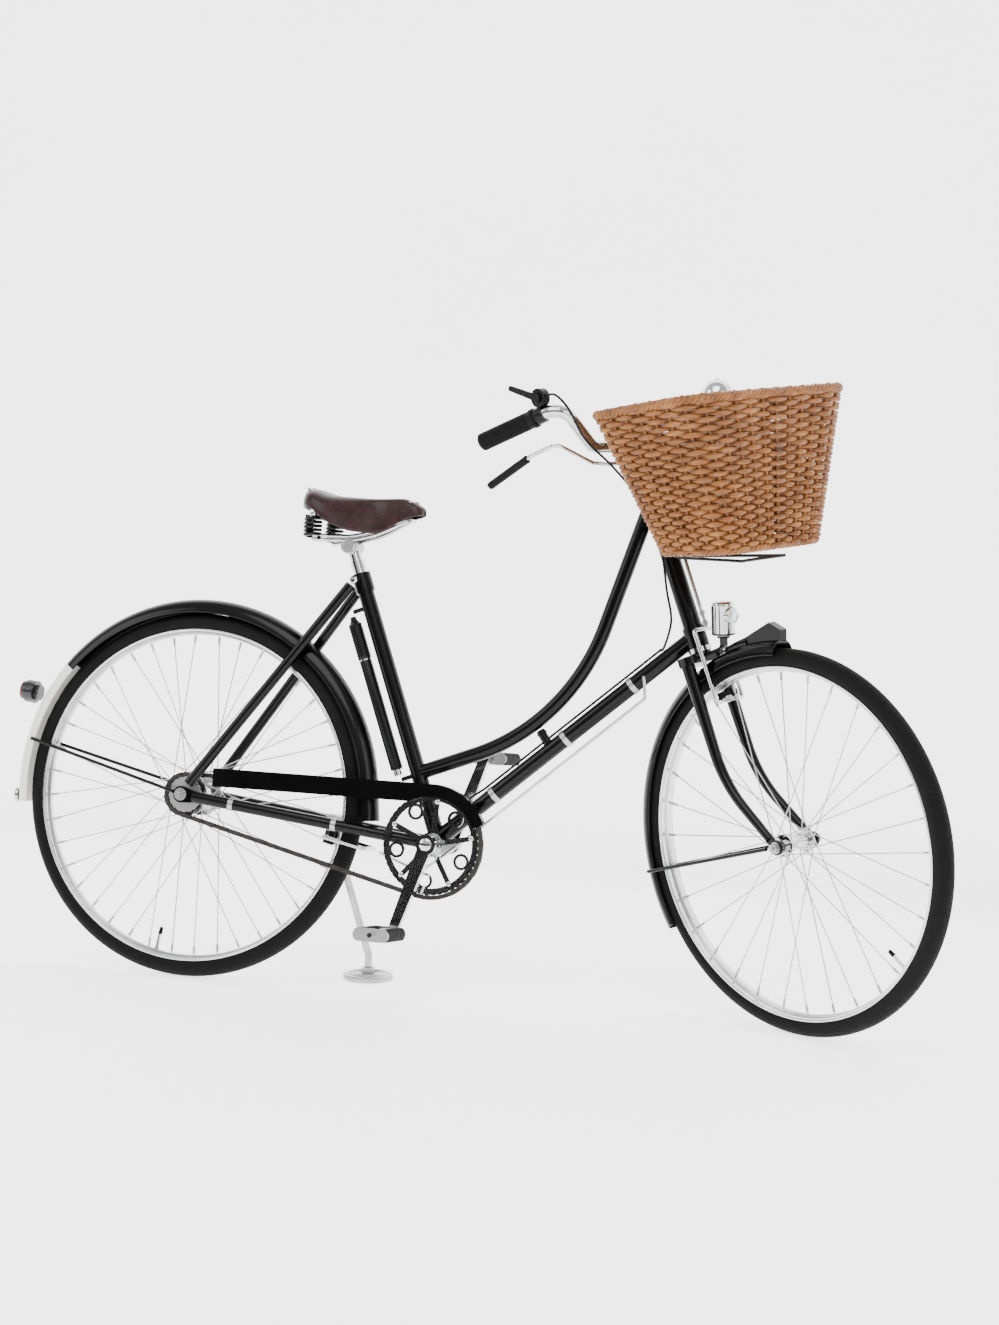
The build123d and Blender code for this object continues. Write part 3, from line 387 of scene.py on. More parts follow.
# ---------------------------------------------------------------- shading
class Nodes:
    """Lays out one shader's nodes and joins them up."""

    def __init__(self, tree: bpy.types.NodeTree) -> None:
        """Starts on an empty node tree."""
        self.tree = tree
        self.tree.nodes.clear()

    def add(self, kind: str, inputs: Optional[dict] = None, **settings: object) -> bpy.types.Node:
        """Adds a node, sets its properties and fills or links its inputs.

        Args:
            kind: the node's type, without the ShaderNode prefix.
            inputs: socket values, or sockets to link from, by name or number.
            settings: the node's own properties.

        Returns:
            The new node.
        """
        node = self.tree.nodes.new(kind if kind.startswith("Node") else f"ShaderNode{kind}")
        for key, value in settings.items():
            setattr(node, key, value)
        for key, value in (inputs or {}).items():
            self.join(node.inputs[key], value)
        return node

    def join(self, socket: bpy.types.NodeSocket, value: object) -> None:
        """Links a socket to another, or sets its value.

        Args:
            socket: the input to fill.
            value: a socket to link, or a plain value.
        """
        if isinstance(value, bpy.types.NodeSocket):
            self.tree.links.new(value, socket)
        else:
            socket.default_value = value

    def math(self, operation: str, a: object, b: object = 0.0) -> bpy.types.NodeSocket:
        """Adds a math step and gives its result."""
        return self.add("Math", {0: a, 1: b}, operation=operation).outputs[0]

    def ramp(self, value: object, stops: Sequence[tuple[float, tuple]]) -> bpy.types.NodeSocket:
        """Adds a colour ramp with those stops and gives its colour.

        Args:
            value: the socket or value that is looked up.
            stops: places from 0 to 1, and their colours.

        Returns:
            The colour's socket.
        """
        node = self.add("ValToRGB", {0: value})
        for i, (place, colour) in enumerate(stops):
            stop = node.color_ramp.elements[i] if i < 2 else node.color_ramp.elements.new(place)
            stop.position = place
            stop.color = (*colour[:3], 1.0)
        return node.outputs[0]

    def span(self, value: object, low: float, high: float) -> bpy.types.NodeSocket:
        """Gives a 0 to 1 value spread between low and high."""
        return self.add("MapRange", {0: value, 3: low, 4: high}).outputs[0]

    def blend(self, factor: object, a: object, b: object) -> bpy.types.NodeSocket:
        """Gives a mix of two colours.

        Args:
            factor: how much of the second colour there is.
            a: the first colour.
            b: the second colour.

        Returns:
            The mixed colour's socket.
        """
        node = self.add("Mix", data_type="RGBA")
        for socket, value in ((node.inputs[0], factor), (node.inputs[6], a), (node.inputs[7], b)):
            self.join(socket, value)
        return node.outputs[2]


def make_group(
    name: str, inputs: dict[str, tuple[str, object]], outputs: dict[str, str],
    build: Callable[[Nodes, bpy.types.Node], dict],
) -> bpy.types.NodeTree:
    """Makes a shader node group with named inputs and outputs.

    Args:
        name: the group's name.
        inputs: each input's socket type and starting value.
        outputs: each output's socket type.
        build: makes the nodes and gives each output's socket.

    Returns:
        The finished group.
    """
    tree = bpy.data.node_groups.new(name, "ShaderNodeTree")
    for label, (kind, value) in inputs.items():
        socket = tree.interface.new_socket(name=label, in_out="INPUT", socket_type=kind)
        if value is not None:
            socket.default_value = value
    for label, kind in outputs.items():
        tree.interface.new_socket(name=label, in_out="OUTPUT", socket_type=kind)
    nodes = Nodes(tree)
    source = nodes.add("NodeGroupInput")
    made = build(nodes, source)
    sink = nodes.add("NodeGroupOutput")
    for label, socket in made.items():
        nodes.join(sink.inputs[label], socket)
    return tree


FLOAT, VECTOR = "NodeSocketFloat", "NodeSocketVector"


class Effects:
    """The surface effects that several finishes share."""

    def __init__(self) -> None:
        """Makes the groups."""
        self.mottle = make_group(
            "surface_mottle",
            {"Vector": (VECTOR, None), "Scale": (FLOAT, 40.0), "Fine Scale": (FLOAT, 600.0)},
            {"Broad": FLOAT, "Fine": FLOAT, "Specks": FLOAT}, self._mottle,
        )
        self.polar = make_group(
            "wheel_polar",
            {"Vector": (VECTOR, None), "Centre": (VECTOR, (0, 0, 0)), "Axis": (VECTOR, (0, 1, 0))},
            {"Radius": FLOAT, "Side": FLOAT, "Turn": FLOAT}, self._polar,
        )
        self.grain = make_group(
            "hide_grain", {"Vector": (VECTOR, None), "Scale": (FLOAT, 700.0)},
            {"Height": FLOAT, "Creases": FLOAT}, self._grain,
        )

    @staticmethod
    def _mottle(nodes: Nodes, source: bpy.types.Node) -> dict:
        """Broad clouds, fine grain and sparse specks.

        Args:
            nodes: the group's nodes.
            source: the group's input node.

        Returns:
            Each output's name and socket.
        """
        vector = source.outputs["Vector"]
        wide, tight = source.outputs["Scale"], source.outputs["Fine Scale"]
        broad = nodes.add("TexNoise", {"Vector": vector, "Scale": wide, "Detail": 5.0})
        fine = nodes.add("TexNoise", {"Vector": vector, "Scale": tight, "Detail": 3.0})
        specks = nodes.add("MapRange", {0: fine.outputs[0], 1: 0.66, 2: 0.74})
        return {"Broad": broad.outputs[0], "Fine": fine.outputs[0], "Specks": specks.outputs[0]}

    @staticmethod
    def _polar(nodes: Nodes, source: bpy.types.Node) -> dict:
        """Distance from a wheel's axle, place along it and turn around it.

        Args:
            nodes: the group's nodes.
            source: the group's input node.

        Returns:
            Each output's name and socket.
        """
        vector, centre, axis = (source.outputs[n] for n in ("Vector", "Centre", "Axis"))
        off = nodes.add("VectorMath", {0: vector, 1: centre}, operation="SUBTRACT").outputs[0]
        side = nodes.add("VectorMath", {0: off, 1: axis}, operation="DOT_PRODUCT").outputs["Value"]
        along = nodes.add("VectorMath", {0: axis, "Scale": side}, operation="SCALE").outputs[0]
        flat = nodes.add("VectorMath", {0: off, 1: along}, operation="SUBTRACT").outputs[0]
        radius = nodes.add("VectorMath", {0: flat}, operation="LENGTH").outputs["Value"]
        parts = nodes.add("SeparateXYZ", {0: flat})
        turn = nodes.math("ARCTAN2", parts.outputs[2], parts.outputs[0])
        return {"Radius": radius, "Side": side, "Turn": turn}

    @staticmethod
    def _grain(nodes: Nodes, source: bpy.types.Node) -> dict:
        """Pebbled hide with long creases.

        Args:
            nodes: the group's nodes.
            source: the group's input node.

        Returns:
            Each output's name and socket.
        """
        vector = source.outputs["Vector"]
        cells = nodes.add("TexVoronoi", {"Vector": vector, "Scale": source.outputs["Scale"]})
        wide = nodes.math("MULTIPLY", source.outputs["Scale"], 0.12)
        creases = nodes.add(
            "TexNoise", {"Vector": vector, "Scale": wide, "Detail": 8.0, "Roughness": 0.7},
        )
        height = nodes.math("ADD", cells.outputs[0], nodes.math("MULTIPLY", creases.outputs[0], 1.6))
        return {"Height": height, "Creases": creases.outputs[0]}


@dataclass(frozen=True)
class Look:
    """One finish's plain shader settings."""

    colour: tuple[float, float, float]
    worn: tuple[float, float, float]
    metallic: float = 0.0
    rough: tuple[float, float] = (0.3, 0.5)
    coat: float = 0.0
    bump: float = 0.1
    scale: float = 40.0
    fine: float = 900.0
    shine: float = 0.5


BLACK_PAINT = Look(
    (0.001, 0.001, 0.0012), (0.003, 0.0028, 0.0026), rough=(0.12, 0.24), coat=0.05, bump=0.03,
    scale=9, shine=0.14,
)
LOOKS = {
    Finish.ENAMEL: BLACK_PAINT,
    Finish.GUARD: replace(BLACK_PAINT, rough=(0.12, 0.26)),
    Finish.CHROME: Look(
        (0.62, 0.63, 0.64), (0.16, 0.145, 0.13), metallic=1, rough=(0.05, 0.16), bump=0.03,
        scale=30, fine=1200,
    ),
    Finish.STEEL: Look(
        (0.42, 0.42, 0.43), (0.2, 0.18, 0.16), metallic=1, rough=(0.26, 0.45), scale=60, fine=1600,
    ),
    Finish.RIM: Look(
        (0.66, 0.67, 0.68), (0.36, 0.33, 0.3), metallic=1, rough=(0.14, 0.32), bump=0.05,
        scale=20, fine=1300,
    ),
    Finish.RUBBER: Look(
        (0.002, 0.002, 0.002), (0.007, 0.0068, 0.0065), rough=(0.5, 0.75), bump=0.25, scale=60,
        fine=1500, shine=0.1,
    ),
    Finish.PLASTIC: Look(
        (0.0015, 0.0015, 0.0018), (0.005, 0.005, 0.0052), rough=(0.25, 0.42), coat=0.03,
        bump=0.08, scale=50, fine=1800, shine=0.15,
    ),
    Finish.CHAIN: Look(
        (0.05, 0.046, 0.042), (0.018, 0.015, 0.012), metallic=1, rough=(0.35, 0.6), bump=0.15,
        scale=150, fine=1500,
    ),
}


class PaintShop:
    """Makes each finish's material once, when it is first asked for."""

    def __init__(self) -> None:
        """Sets up the shared effects and an empty shelf of paints."""
        self.effects = Effects()
        self.shelf: dict[str, bpy.types.Material] = {}

    def get(self, finish: Finish, wheel: str = "") -> bpy.types.Material:
        """Gives the material of a finish, and of one wheel where it follows the wheel.

        Args:
            finish: the finish.
            wheel: the wheel that it follows, if any.

        Returns:
            The material.
        """
        key = f"{finish.value}{wheel}"
        if key not in self.shelf:
            material = bpy.data.materials.new(key)
            material.use_nodes = True
            self._paint(Nodes(material.node_tree), finish, wheel)
            self.shelf[key] = material
        return self.shelf[key]

    def _paint(self, nodes: Nodes, finish: Finish, wheel: str) -> None:
        """Sends a finish to the method that lays out its nodes.

        Args:
            nodes: the material's nodes.
            finish: the finish.
            wheel: the wheel that it follows, if any.
        """
        special = {
            Finish.TYRE: self._tyre, Finish.LEATHER: self._leather, Finish.WICKER: self._wicker,
            Finish.RED_LENS: self._red_lens, Finish.GLASS: self._glass, Finish.FLOOR: self._floor,
        }
        shader = nodes.add("BsdfPrincipled")
        if finish in special:
            special[finish](nodes, shader, wheel)
        else:
            self._plain(nodes, shader, finish, LOOKS[finish])
        surface = shader.outputs[0]
        if finish is Finish.FLOOR:
            behind = nodes.add("NewGeometry").outputs["Backfacing"]
            clear = nodes.add("BsdfTransparent").outputs[0]
            surface = nodes.add("MixShader", {0: behind, 1: surface, 2: clear}).outputs[0]
        nodes.add("OutputMaterial", {0: surface})

    def _group(self, nodes: Nodes, tree: bpy.types.NodeTree, **inputs: object) -> bpy.types.Node:
        """Adds a shared effect over the object's own coordinates.

        Args:
            nodes: the material's nodes.
            tree: the shared effect.
            inputs: values for its inputs, by name.

        Returns:
            The placed group.
        """
        place = nodes.add("TexCoord").outputs["Object"]
        named = {k.replace("_", " "): v for k, v in inputs.items()}
        node = nodes.add("Group", node_tree=tree)
        for key, value in {"Vector": place, **named}.items():
            nodes.join(node.inputs[key], value)
        return node

    def _bump(
        self, nodes: Nodes, shader: bpy.types.Node, height: object, strength: float, reach: float,
    ) -> None:
        """Adds a bump to a shader's normal."""
        bump = nodes.add("Bump", {"Height": height, "Strength": strength, "Distance": reach})
        nodes.join(shader.inputs["Normal"], bump.outputs[0])

    def _plain(self, nodes: Nodes, shader: bpy.types.Node, finish: Finish, look: Look) -> None:
        """Paint, plate, rubber and plastic: mottled, speckled and slightly worn.

        Args:
            nodes: the material's nodes.
            shader: the shader that they feed.
            finish: the finish.
            look: its settings.
        """
        marks = self._group(nodes, self.effects.mottle, Scale=look.scale, Fine_Scale=look.fine)
        spread = nodes.math("MULTIPLY", nodes.span(marks.outputs["Broad"], -0.6, 1.3), 0.6)
        fade = nodes.math("MAXIMUM", spread, marks.outputs["Specks"])
        fade = nodes.add("Clamp", {0: fade}).outputs[0]
        colour = nodes.blend(fade, (*look.colour, 1), (*look.worn, 1))
        if finish is Finish.GUARD:
            colour = self._white_tail(nodes, colour)
        nodes.join(shader.inputs["Base Color"], colour)
        nodes.join(shader.inputs["Roughness"], nodes.span(marks.outputs["Broad"], *look.rough))
        shader.inputs["Metallic"].default_value = look.metallic
        shader.inputs["Coat Weight"].default_value = look.coat
        shader.inputs["Coat Roughness"].default_value = 0.06
        shader.inputs["Specular IOR Level"].default_value = look.shine
        self._bump(nodes, shader, marks.outputs["Fine"], look.bump, 0.0004)

    def _white_tail(self, nodes: Nodes, colour: bpy.types.NodeSocket) -> bpy.types.NodeSocket:
        """Paints the rear guard's tail white below a line square to the guard.

        Args:
            nodes: the material's nodes.
            colour: the guard's own colour.

        Returns:
            The colour with its white tail.
        """
        place = nodes.add("TexCoord").outputs["Object"]
        corner, inward = on_frame(-268, 0, 552), frame_way(-0.55, 0, -0.835)
        off = nodes.add("VectorMath", {0: place, 1: tuple(corner)}, operation="SUBTRACT").outputs[0]
        depth = nodes.add("VectorMath", {0: off, 1: tuple(inward)}, operation="DOT_PRODUCT")
        mask = nodes.math("GREATER_THAN", depth.outputs["Value"], 0.0)
        seat_side = tuple(on_frame(-60, 0, 0))
        behind = nodes.add("VectorMath", {0: place, 1: seat_side}, operation="SUBTRACT").outputs[0]
        back = tuple(frame_way(-1, 0, 0))
        rearward = nodes.add("VectorMath", {0: behind, 1: back}, operation="DOT_PRODUCT")
        mask = nodes.math("MULTIPLY", mask, nodes.math("GREATER_THAN", rearward.outputs["Value"], 0.0))
        return nodes.blend(mask, colour, (0.72, 0.71, 0.68, 1))

    def _tyre(self, nodes: Nodes, shader: bpy.types.Node, wheel: str) -> None:
        """Black tyre with ribs round its tread and fine file marks across them.

        Args:
            nodes: the material's nodes.
            shader: the shader that they feed.
            wheel: the wheel that it follows, if any.
        """
        spin = joint(f"{wheel}_wheel_spin")
        polar = self._group(
            nodes, self.effects.polar, Centre=tuple(spin["pos_m"]), Axis=tuple(spin["axis"]),
        )
        marks = self._group(nodes, self.effects.mottle, Scale=25.0, Fine_Scale=700.0)
        ribs = nodes.math("SINE", nodes.math("MULTIPLY", polar.outputs["Side"], 1500.0))
        bars = nodes.math("SINE", nodes.math("MULTIPLY", polar.outputs["Turn"], 520.0))
        tread = nodes.math("GREATER_THAN", polar.outputs["Radius"], 0.3215)
        wall = nodes.math("SINE", nodes.math("MULTIPLY", polar.outputs["Radius"], 2600.0))
        crossed = nodes.math("ADD", ribs, nodes.math("MULTIPLY", bars, 0.5))
        pattern = nodes.math("MULTIPLY", crossed, tread)
        height = nodes.math("ADD", pattern, nodes.math("MULTIPLY", wall, 0.12))
        clean, dusty = (0.0015, 0.0015, 0.0015, 1), (0.006, 0.0058, 0.0055, 1)
        dust = nodes.blend(marks.outputs["Broad"], clean, dusty)
        nodes.join(shader.inputs["Base Color"], dust)
        nodes.join(shader.inputs["Roughness"], nodes.span(marks.outputs["Broad"], 0.5, 0.8))
        shader.inputs["Specular IOR Level"].default_value = 0.08
        self._bump(nodes, shader, height, 0.5, 0.0008)

    def _leather(self, nodes: Nodes, shader: bpy.types.Node, wheel: str) -> None:
        """Maroon-brown hide, its tone varying with the crease noise.

        Args:
            nodes: the material's nodes.
            shader: the shader that they feed.
            wheel: not used.
        """
        grain = self._group(nodes, self.effects.grain, Scale=620.0)
        colour = nodes.ramp(grain.outputs["Creases"], (
            (0.3, (0.006, 0.0016, 0.0018)), (0.62, (0.021, 0.0048, 0.0048)),
            (0.85, (0.08, 0.022, 0.017)),
        ))
        nodes.join(shader.inputs["Base Color"], colour)
        nodes.join(shader.inputs["Roughness"], nodes.span(grain.outputs["Creases"], 0.22, 0.5))
        shader.inputs["Specular IOR Level"].default_value = 0.16
        shader.inputs["Coat Weight"].default_value = 0.12
        shader.inputs["Coat Roughness"].default_value = 0.2
        self._bump(nodes, shader, grain.outputs["Height"], 0.35, 0.0009)

    def _wicker(self, nodes: Nodes, shader: bpy.types.Node, wheel: str) -> None:
        """Golden willow with long darker streaks and knots.

        Args:
            nodes: the material's nodes.
            shader: the shader that they feed.
            wheel: not used.
        """
        place = nodes.add("TexCoord").outputs["Object"]
        stretched = nodes.add("Mapping", {0: place, 3: (60, 60, 420)})
        streak = nodes.add("TexNoise", {"Vector": stretched.outputs[0], "Scale": 1.0, "Detail": 6.0})
        marks = self._group(nodes, self.effects.mottle, Scale=28.0, Fine_Scale=500.0)
        summed = nodes.math("ADD", streak.outputs[0], marks.outputs["Broad"])
        tone = nodes.math("MULTIPLY", summed, 0.5)
        colour = nodes.ramp(tone, (
            (0.34, (0.1, 0.032, 0.006)), (0.5, (0.19, 0.067, 0.014)), (0.66, (0.31, 0.13, 0.035)),
        ))
        nodes.join(shader.inputs["Base Color"], colour)
        nodes.join(shader.inputs["Roughness"], nodes.span(streak.outputs[0], 0.38, 0.62))
        shader.inputs["Specular IOR Level"].default_value = 0.3
        self._bump(nodes, shader, streak.outputs[0], 0.4, 0.0008)

    def _red_lens(self, nodes: Nodes, shader: bpy.types.Node, wheel: str) -> None:
        """Black lamp body whose outer end is a ridged red lens.

        Args:
            nodes: the material's nodes.
            shader: the shader that they feed.
            wheel: not used.
        """
        place = nodes.add("TexCoord").outputs["Object"]
        seam, back = tuple(on_frame(-361, 0, 497)), tuple(frame_way(-1, 0, 0))
        off = nodes.add("VectorMath", {0: place, 1: seam}, operation="SUBTRACT").outputs[0]
        reach = nodes.add("VectorMath", {0: off, 1: back}, operation="DOT_PRODUCT").outputs["Value"]
        lens = nodes.math("GREATER_THAN", reach, 0.0)
        rings = nodes.add("TexVoronoi", {"Vector": place, "Scale": 320.0})
        colour = nodes.blend(lens, (0.005, 0.005, 0.006, 1), (0.2, 0.006, 0.006, 1))
        nodes.join(shader.inputs["Base Color"], colour)
        nodes.join(shader.inputs["Roughness"], nodes.span(rings.outputs[0], 0.12, 0.3))
        self._bump(nodes, shader, rings.outputs[0], 0.5, 0.001)

    def _glass(self, nodes: Nodes, shader: bpy.types.Node, wheel: str) -> None:
        """Ribbed lamp glass, pale and partly metallic to stand for the bright reflector behind it.

        Args:
            nodes: the material's nodes.
            shader: the shader that they feed.
            wheel: not used.
        """
        place = nodes.add("TexCoord").outputs["Object"]
        ribs = nodes.add(
            "TexWave", {"Vector": place, "Scale": 120.0, "Distortion": 0.4}, bands_direction="Z",
        )
        tone = nodes.blend(ribs.outputs[1], (0.5, 0.53, 0.55, 1), (0.85, 0.88, 0.9, 1))
        nodes.join(shader.inputs["Base Color"], tone)
        nodes.join(shader.inputs["Roughness"], nodes.span(ribs.outputs[1], 0.04, 0.14))
        shader.inputs["Coat Weight"].default_value = 1.0
        shader.inputs["Metallic"].default_value = 0.55
        self._bump(nodes, shader, ribs.outputs[1], 0.6, 0.0015)

    def _floor(self, nodes: Nodes, shader: bpy.types.Node, wheel: str) -> None:
        """Pale, matt, faintly clouded studio floor.

        Args:
            nodes: the material's nodes.
            shader: the shader that they feed.
            wheel: not used.
        """
        marks = self._group(nodes, self.effects.mottle, Scale=1.5, Fine_Scale=30.0)
        tone = nodes.blend(marks.outputs["Broad"], (0.8, 0.8, 0.81, 1), (0.86, 0.86, 0.865, 1))
        nodes.join(shader.inputs["Base Color"], tone)
        nodes.join(shader.inputs["Roughness"], nodes.span(marks.outputs["Broad"], 0.6, 0.8))
        nodes.join(shader.inputs["Emission Color"], tone)
        shader.inputs["Emission Strength"].default_value = 2.3
        self._bump(nodes, shader, marks.outputs["Fine"], 0.05, 0.001)


PAINTS = PaintShop()


def dress(finish: Finish, *names: str, wheel: str = "") -> None:
    """Puts a finish on CAD nodes that stay as they are.

    Args:
        finish: the finish.
        names: the nodes' names.
        wheel: the wheel that the finish follows, if any.
    """
    for name in names:
        mesh = frame["nodes"][name].data
        mesh.materials.clear()
        mesh.materials.append(PAINTS.get(finish, wheel))


# ---------------------------------------------------------------- sub-assemblies
@dataclass
class FrameSet:
    """The loop frame with its mudguards, pump and small clips."""

    clip_width: float = 9.0
    tube_radius: float = 14.3

    def build(self) -> None:
        """Dresses the tubes and adds the pump, bands, bolt heads, guard beads and loop bridge."""
        dress(
            Finish.ENAMEL, "head_tube", "down_tube", "loop_tube", "seat_tube", "bottom_bracket_shell",
            "chain_stays", "seat_stays", "chainguard",
        )
        dress(Finish.ENAMEL, "rear_mudguard_stays")
        dress(Finish.GUARD, "rear_mudguard")
        dress(Finish.CHROME, "headset_cups")
        dress(Finish.STEEL, "rear_axle", "kickstand_bracket")
        dress(Finish.PLASTIC, "gear_cable")
        self._pump()
        self._seat_bolt()
        self._clips()
        self._guard_beads()
        self._loop_bridge()

    def _pump(self) -> None:
        """The black frame pump: knurled handle, barrel and two bright ferrules."""
        seat = math.radians(SEAT_ANGLE)
        along = Vector((-math.cos(seat), 0, math.sin(seat)))
        back = Vector((-math.sin(seat), 0, -math.cos(seat)))
        foot = Vector((CRANK_X, 0, CRANK_Z)) + back * 37 + along * 138
        axis = REAR.to_3x3() @ along
        base = on_frame(*foot)
        barrel = [(12, 10.2), (14, 11.0), (214, 11.0), (217, 10.2)]
        grip = [(218, 11.0)]
        for ring in range(12):
            grip += [(222 + ring * 5, 12.5), (224.5 + ring * 5, 11.6)]
        grip += [(283, 12.5), (286, 9.5), (292, 6.0), (298, 5.0)]
        mesh = Mesh()
        for profile in (barrel, grip):
            mesh.lathe(base, axis, in_metres(profile), 28)
        mesh.finish("pump_barrel", "frame", Finish.PLASTIC, ("pump",))
        bands = Mesh()
        for low, high in ((0, 12), (214, 219)):
            reach = 7.5 if low < 5 else 11.5
            rows = [(low, 5.5), (low + 1, reach), (high - 1, reach), (high, 6)]
            bands.lathe(base, axis, in_metres(rows), 28)
        bands.finish("pump_ferrules", "frame", Finish.CHROME)

    def _seat_bolt(self) -> None:
        """The pinch bolt's bright heads beside the seat lug."""
        mesh = Mesh()
        for side in (1, -1):
            base, axis = on_frame(294, side * 34, 733), frame_way(0, side, 0)
            mesh.lathe(base, axis, [(0, 0.0075), (0.003, 0.0078), (0.005, 0.005), (0.0055, 0.001)], 6)
        mesh.finish("seat_bolt_heads", "frame", Finish.CHROME, smooth=25)

    def _band(self, mesh: Mesh, centre: Vector, along: Vector, radius: float) -> None:
        """Adds one clip band round a tube.

        Args:
            mesh: the mesh that it joins.
            centre: the band's middle, on the drawing.
            along: the tube's direction.
            radius: the tube's radius, in millimetres.
        """
        half = self.clip_width / 2
        rows = [(-half, radius), (-half, radius + 1.1), (half, radius + 1.1), (half, radius)]
        mesh.lathe(on_frame(*centre), REAR.to_3x3() @ along, in_metres(rows), 32)

    def _clips(self) -> None:
        """The cable and rod bands round the down tube and the right chain stay."""
        low, high = Vector((CRANK_X, 0, 286.5)), Vector((918, 0, 666.6))
        along = (high - low).normalized()
        mesh = Mesh()
        for part in (0.22, 0.5, 0.76):
            self._band(mesh, low + (high - low) * part, along, self.tube_radius)
        stay_low, stay_high = Vector((24, -60, 327)), Vector((455, -26, 277))
        stay = stay_high - stay_low
        for part in (0.17, 0.62):
            self._band(mesh, stay_low + stay * part, stay.normalized(), 10.5)
        mesh.finish("tube_bands", "frame", Finish.STEEL)

    def _guard_beads(self) -> None:
        """The rolled edges along the rear mudguard."""
        mesh = Mesh()
        edge = REAR_GUARD_R - GUARD_SKIRT
        for side in (GUARD_SIDE, -GUARD_SIDE):
            mesh.tube(guard_arc(on_frame, 0, edge, 6, 180, 90, side), 0.0016, 6)
        mesh.finish("rear_guard_beads", "frame", Finish.GUARD)

    def _loop_bridge(self) -> None:
        """The short brace between the loop tube and the down tube."""
        mesh = Mesh().tube([on_frame(650, 0, 487), on_frame(668, 0, 462)], 0.008, 20)
        mesh.tube([on_frame(652.5, 0, 483.5), on_frame(654.5, 0, 480.7)], 0.0095, 20)
        mesh.finish("loop_bridge", "frame", Finish.ENAMEL)


@dataclass
class Wheel:
    """One wheel: tyre, rim, spokes, hub and valve."""

    name: str
    valve_turn: float

    def build(self) -> None:
        """Dresses the wheel's nodes and adds its valve."""
        spin = joint(f"{self.name}_wheel_spin")
        self.centre, self.axis = Vector(spin["pos_m"]), Vector(spin["axis"]).normalized()
        dress(Finish.TYRE, f"{self.name}_tyre", wheel=self.name)
        dress(Finish.RIM, f"{self.name}_rim")
        dress(Finish.STEEL, f"{self.name}_spokes")
        dress(Finish.CHROME, f"{self.name}_hub")
        self._valve()
        self._hub_rings()

    def _radial(self, turn: float) -> Vector:
        """Gives the outward direction at a turn measured up from ahead.

        Args:
            turn: the turn, in degrees.

        Returns:
            The direction in the scene.
        """
        place = (REAR if self.name == "rear" else HEAD).to_3x3()
        lift = math.radians(turn + (0 if self.name == "rear" else -21.8))
        return (place @ Vector((math.cos(lift), 0, math.sin(lift)))).normalized()

    def _valve(self) -> None:
        """The valve stem with its nut, all in bright chrome, and its black cap."""
        out = self._radial(self.valve_turn)
        rows = [(0, 2.8), (4, 3.1), (24, 3.1), (28, 4.5), (31, 4.5)]
        stem = Mesh().lathe(self.centre + out * 0.262, out, in_metres(rows), 14)
        stem.finish(f"{self.name}_valve_stem", f"{self.name}_wheel", Finish.CHROME)
        rows = [(0, 1.5), (2, 3.5), (13, 3.8)]
        cap = Mesh().lathe(self.centre + out * 0.25, out, in_metres(rows), 14)
        cap.finish(f"{self.name}_valve_cap", f"{self.name}_wheel", Finish.RUBBER)

    def _hub_rings(self) -> None:
        """The hub's dust rings, one on each side."""
        half = 0.0352 if self.name == "rear" else 0.0342
        mesh = Mesh()
        for side in (1, -1):
            reach = 0.0145 if self.name == "rear" else 0.0098
            rows = [(0, reach), (0.0012, reach), (0.0016, reach - 0.0015), (0.0017, 0.0065)]
            mesh.lathe(self.centre + self.axis * side * half, self.axis * side, rows, 32)
        mesh.finish(f"{self.name}_dust_rings", f"{self.name}_wheel", Finish.STEEL)


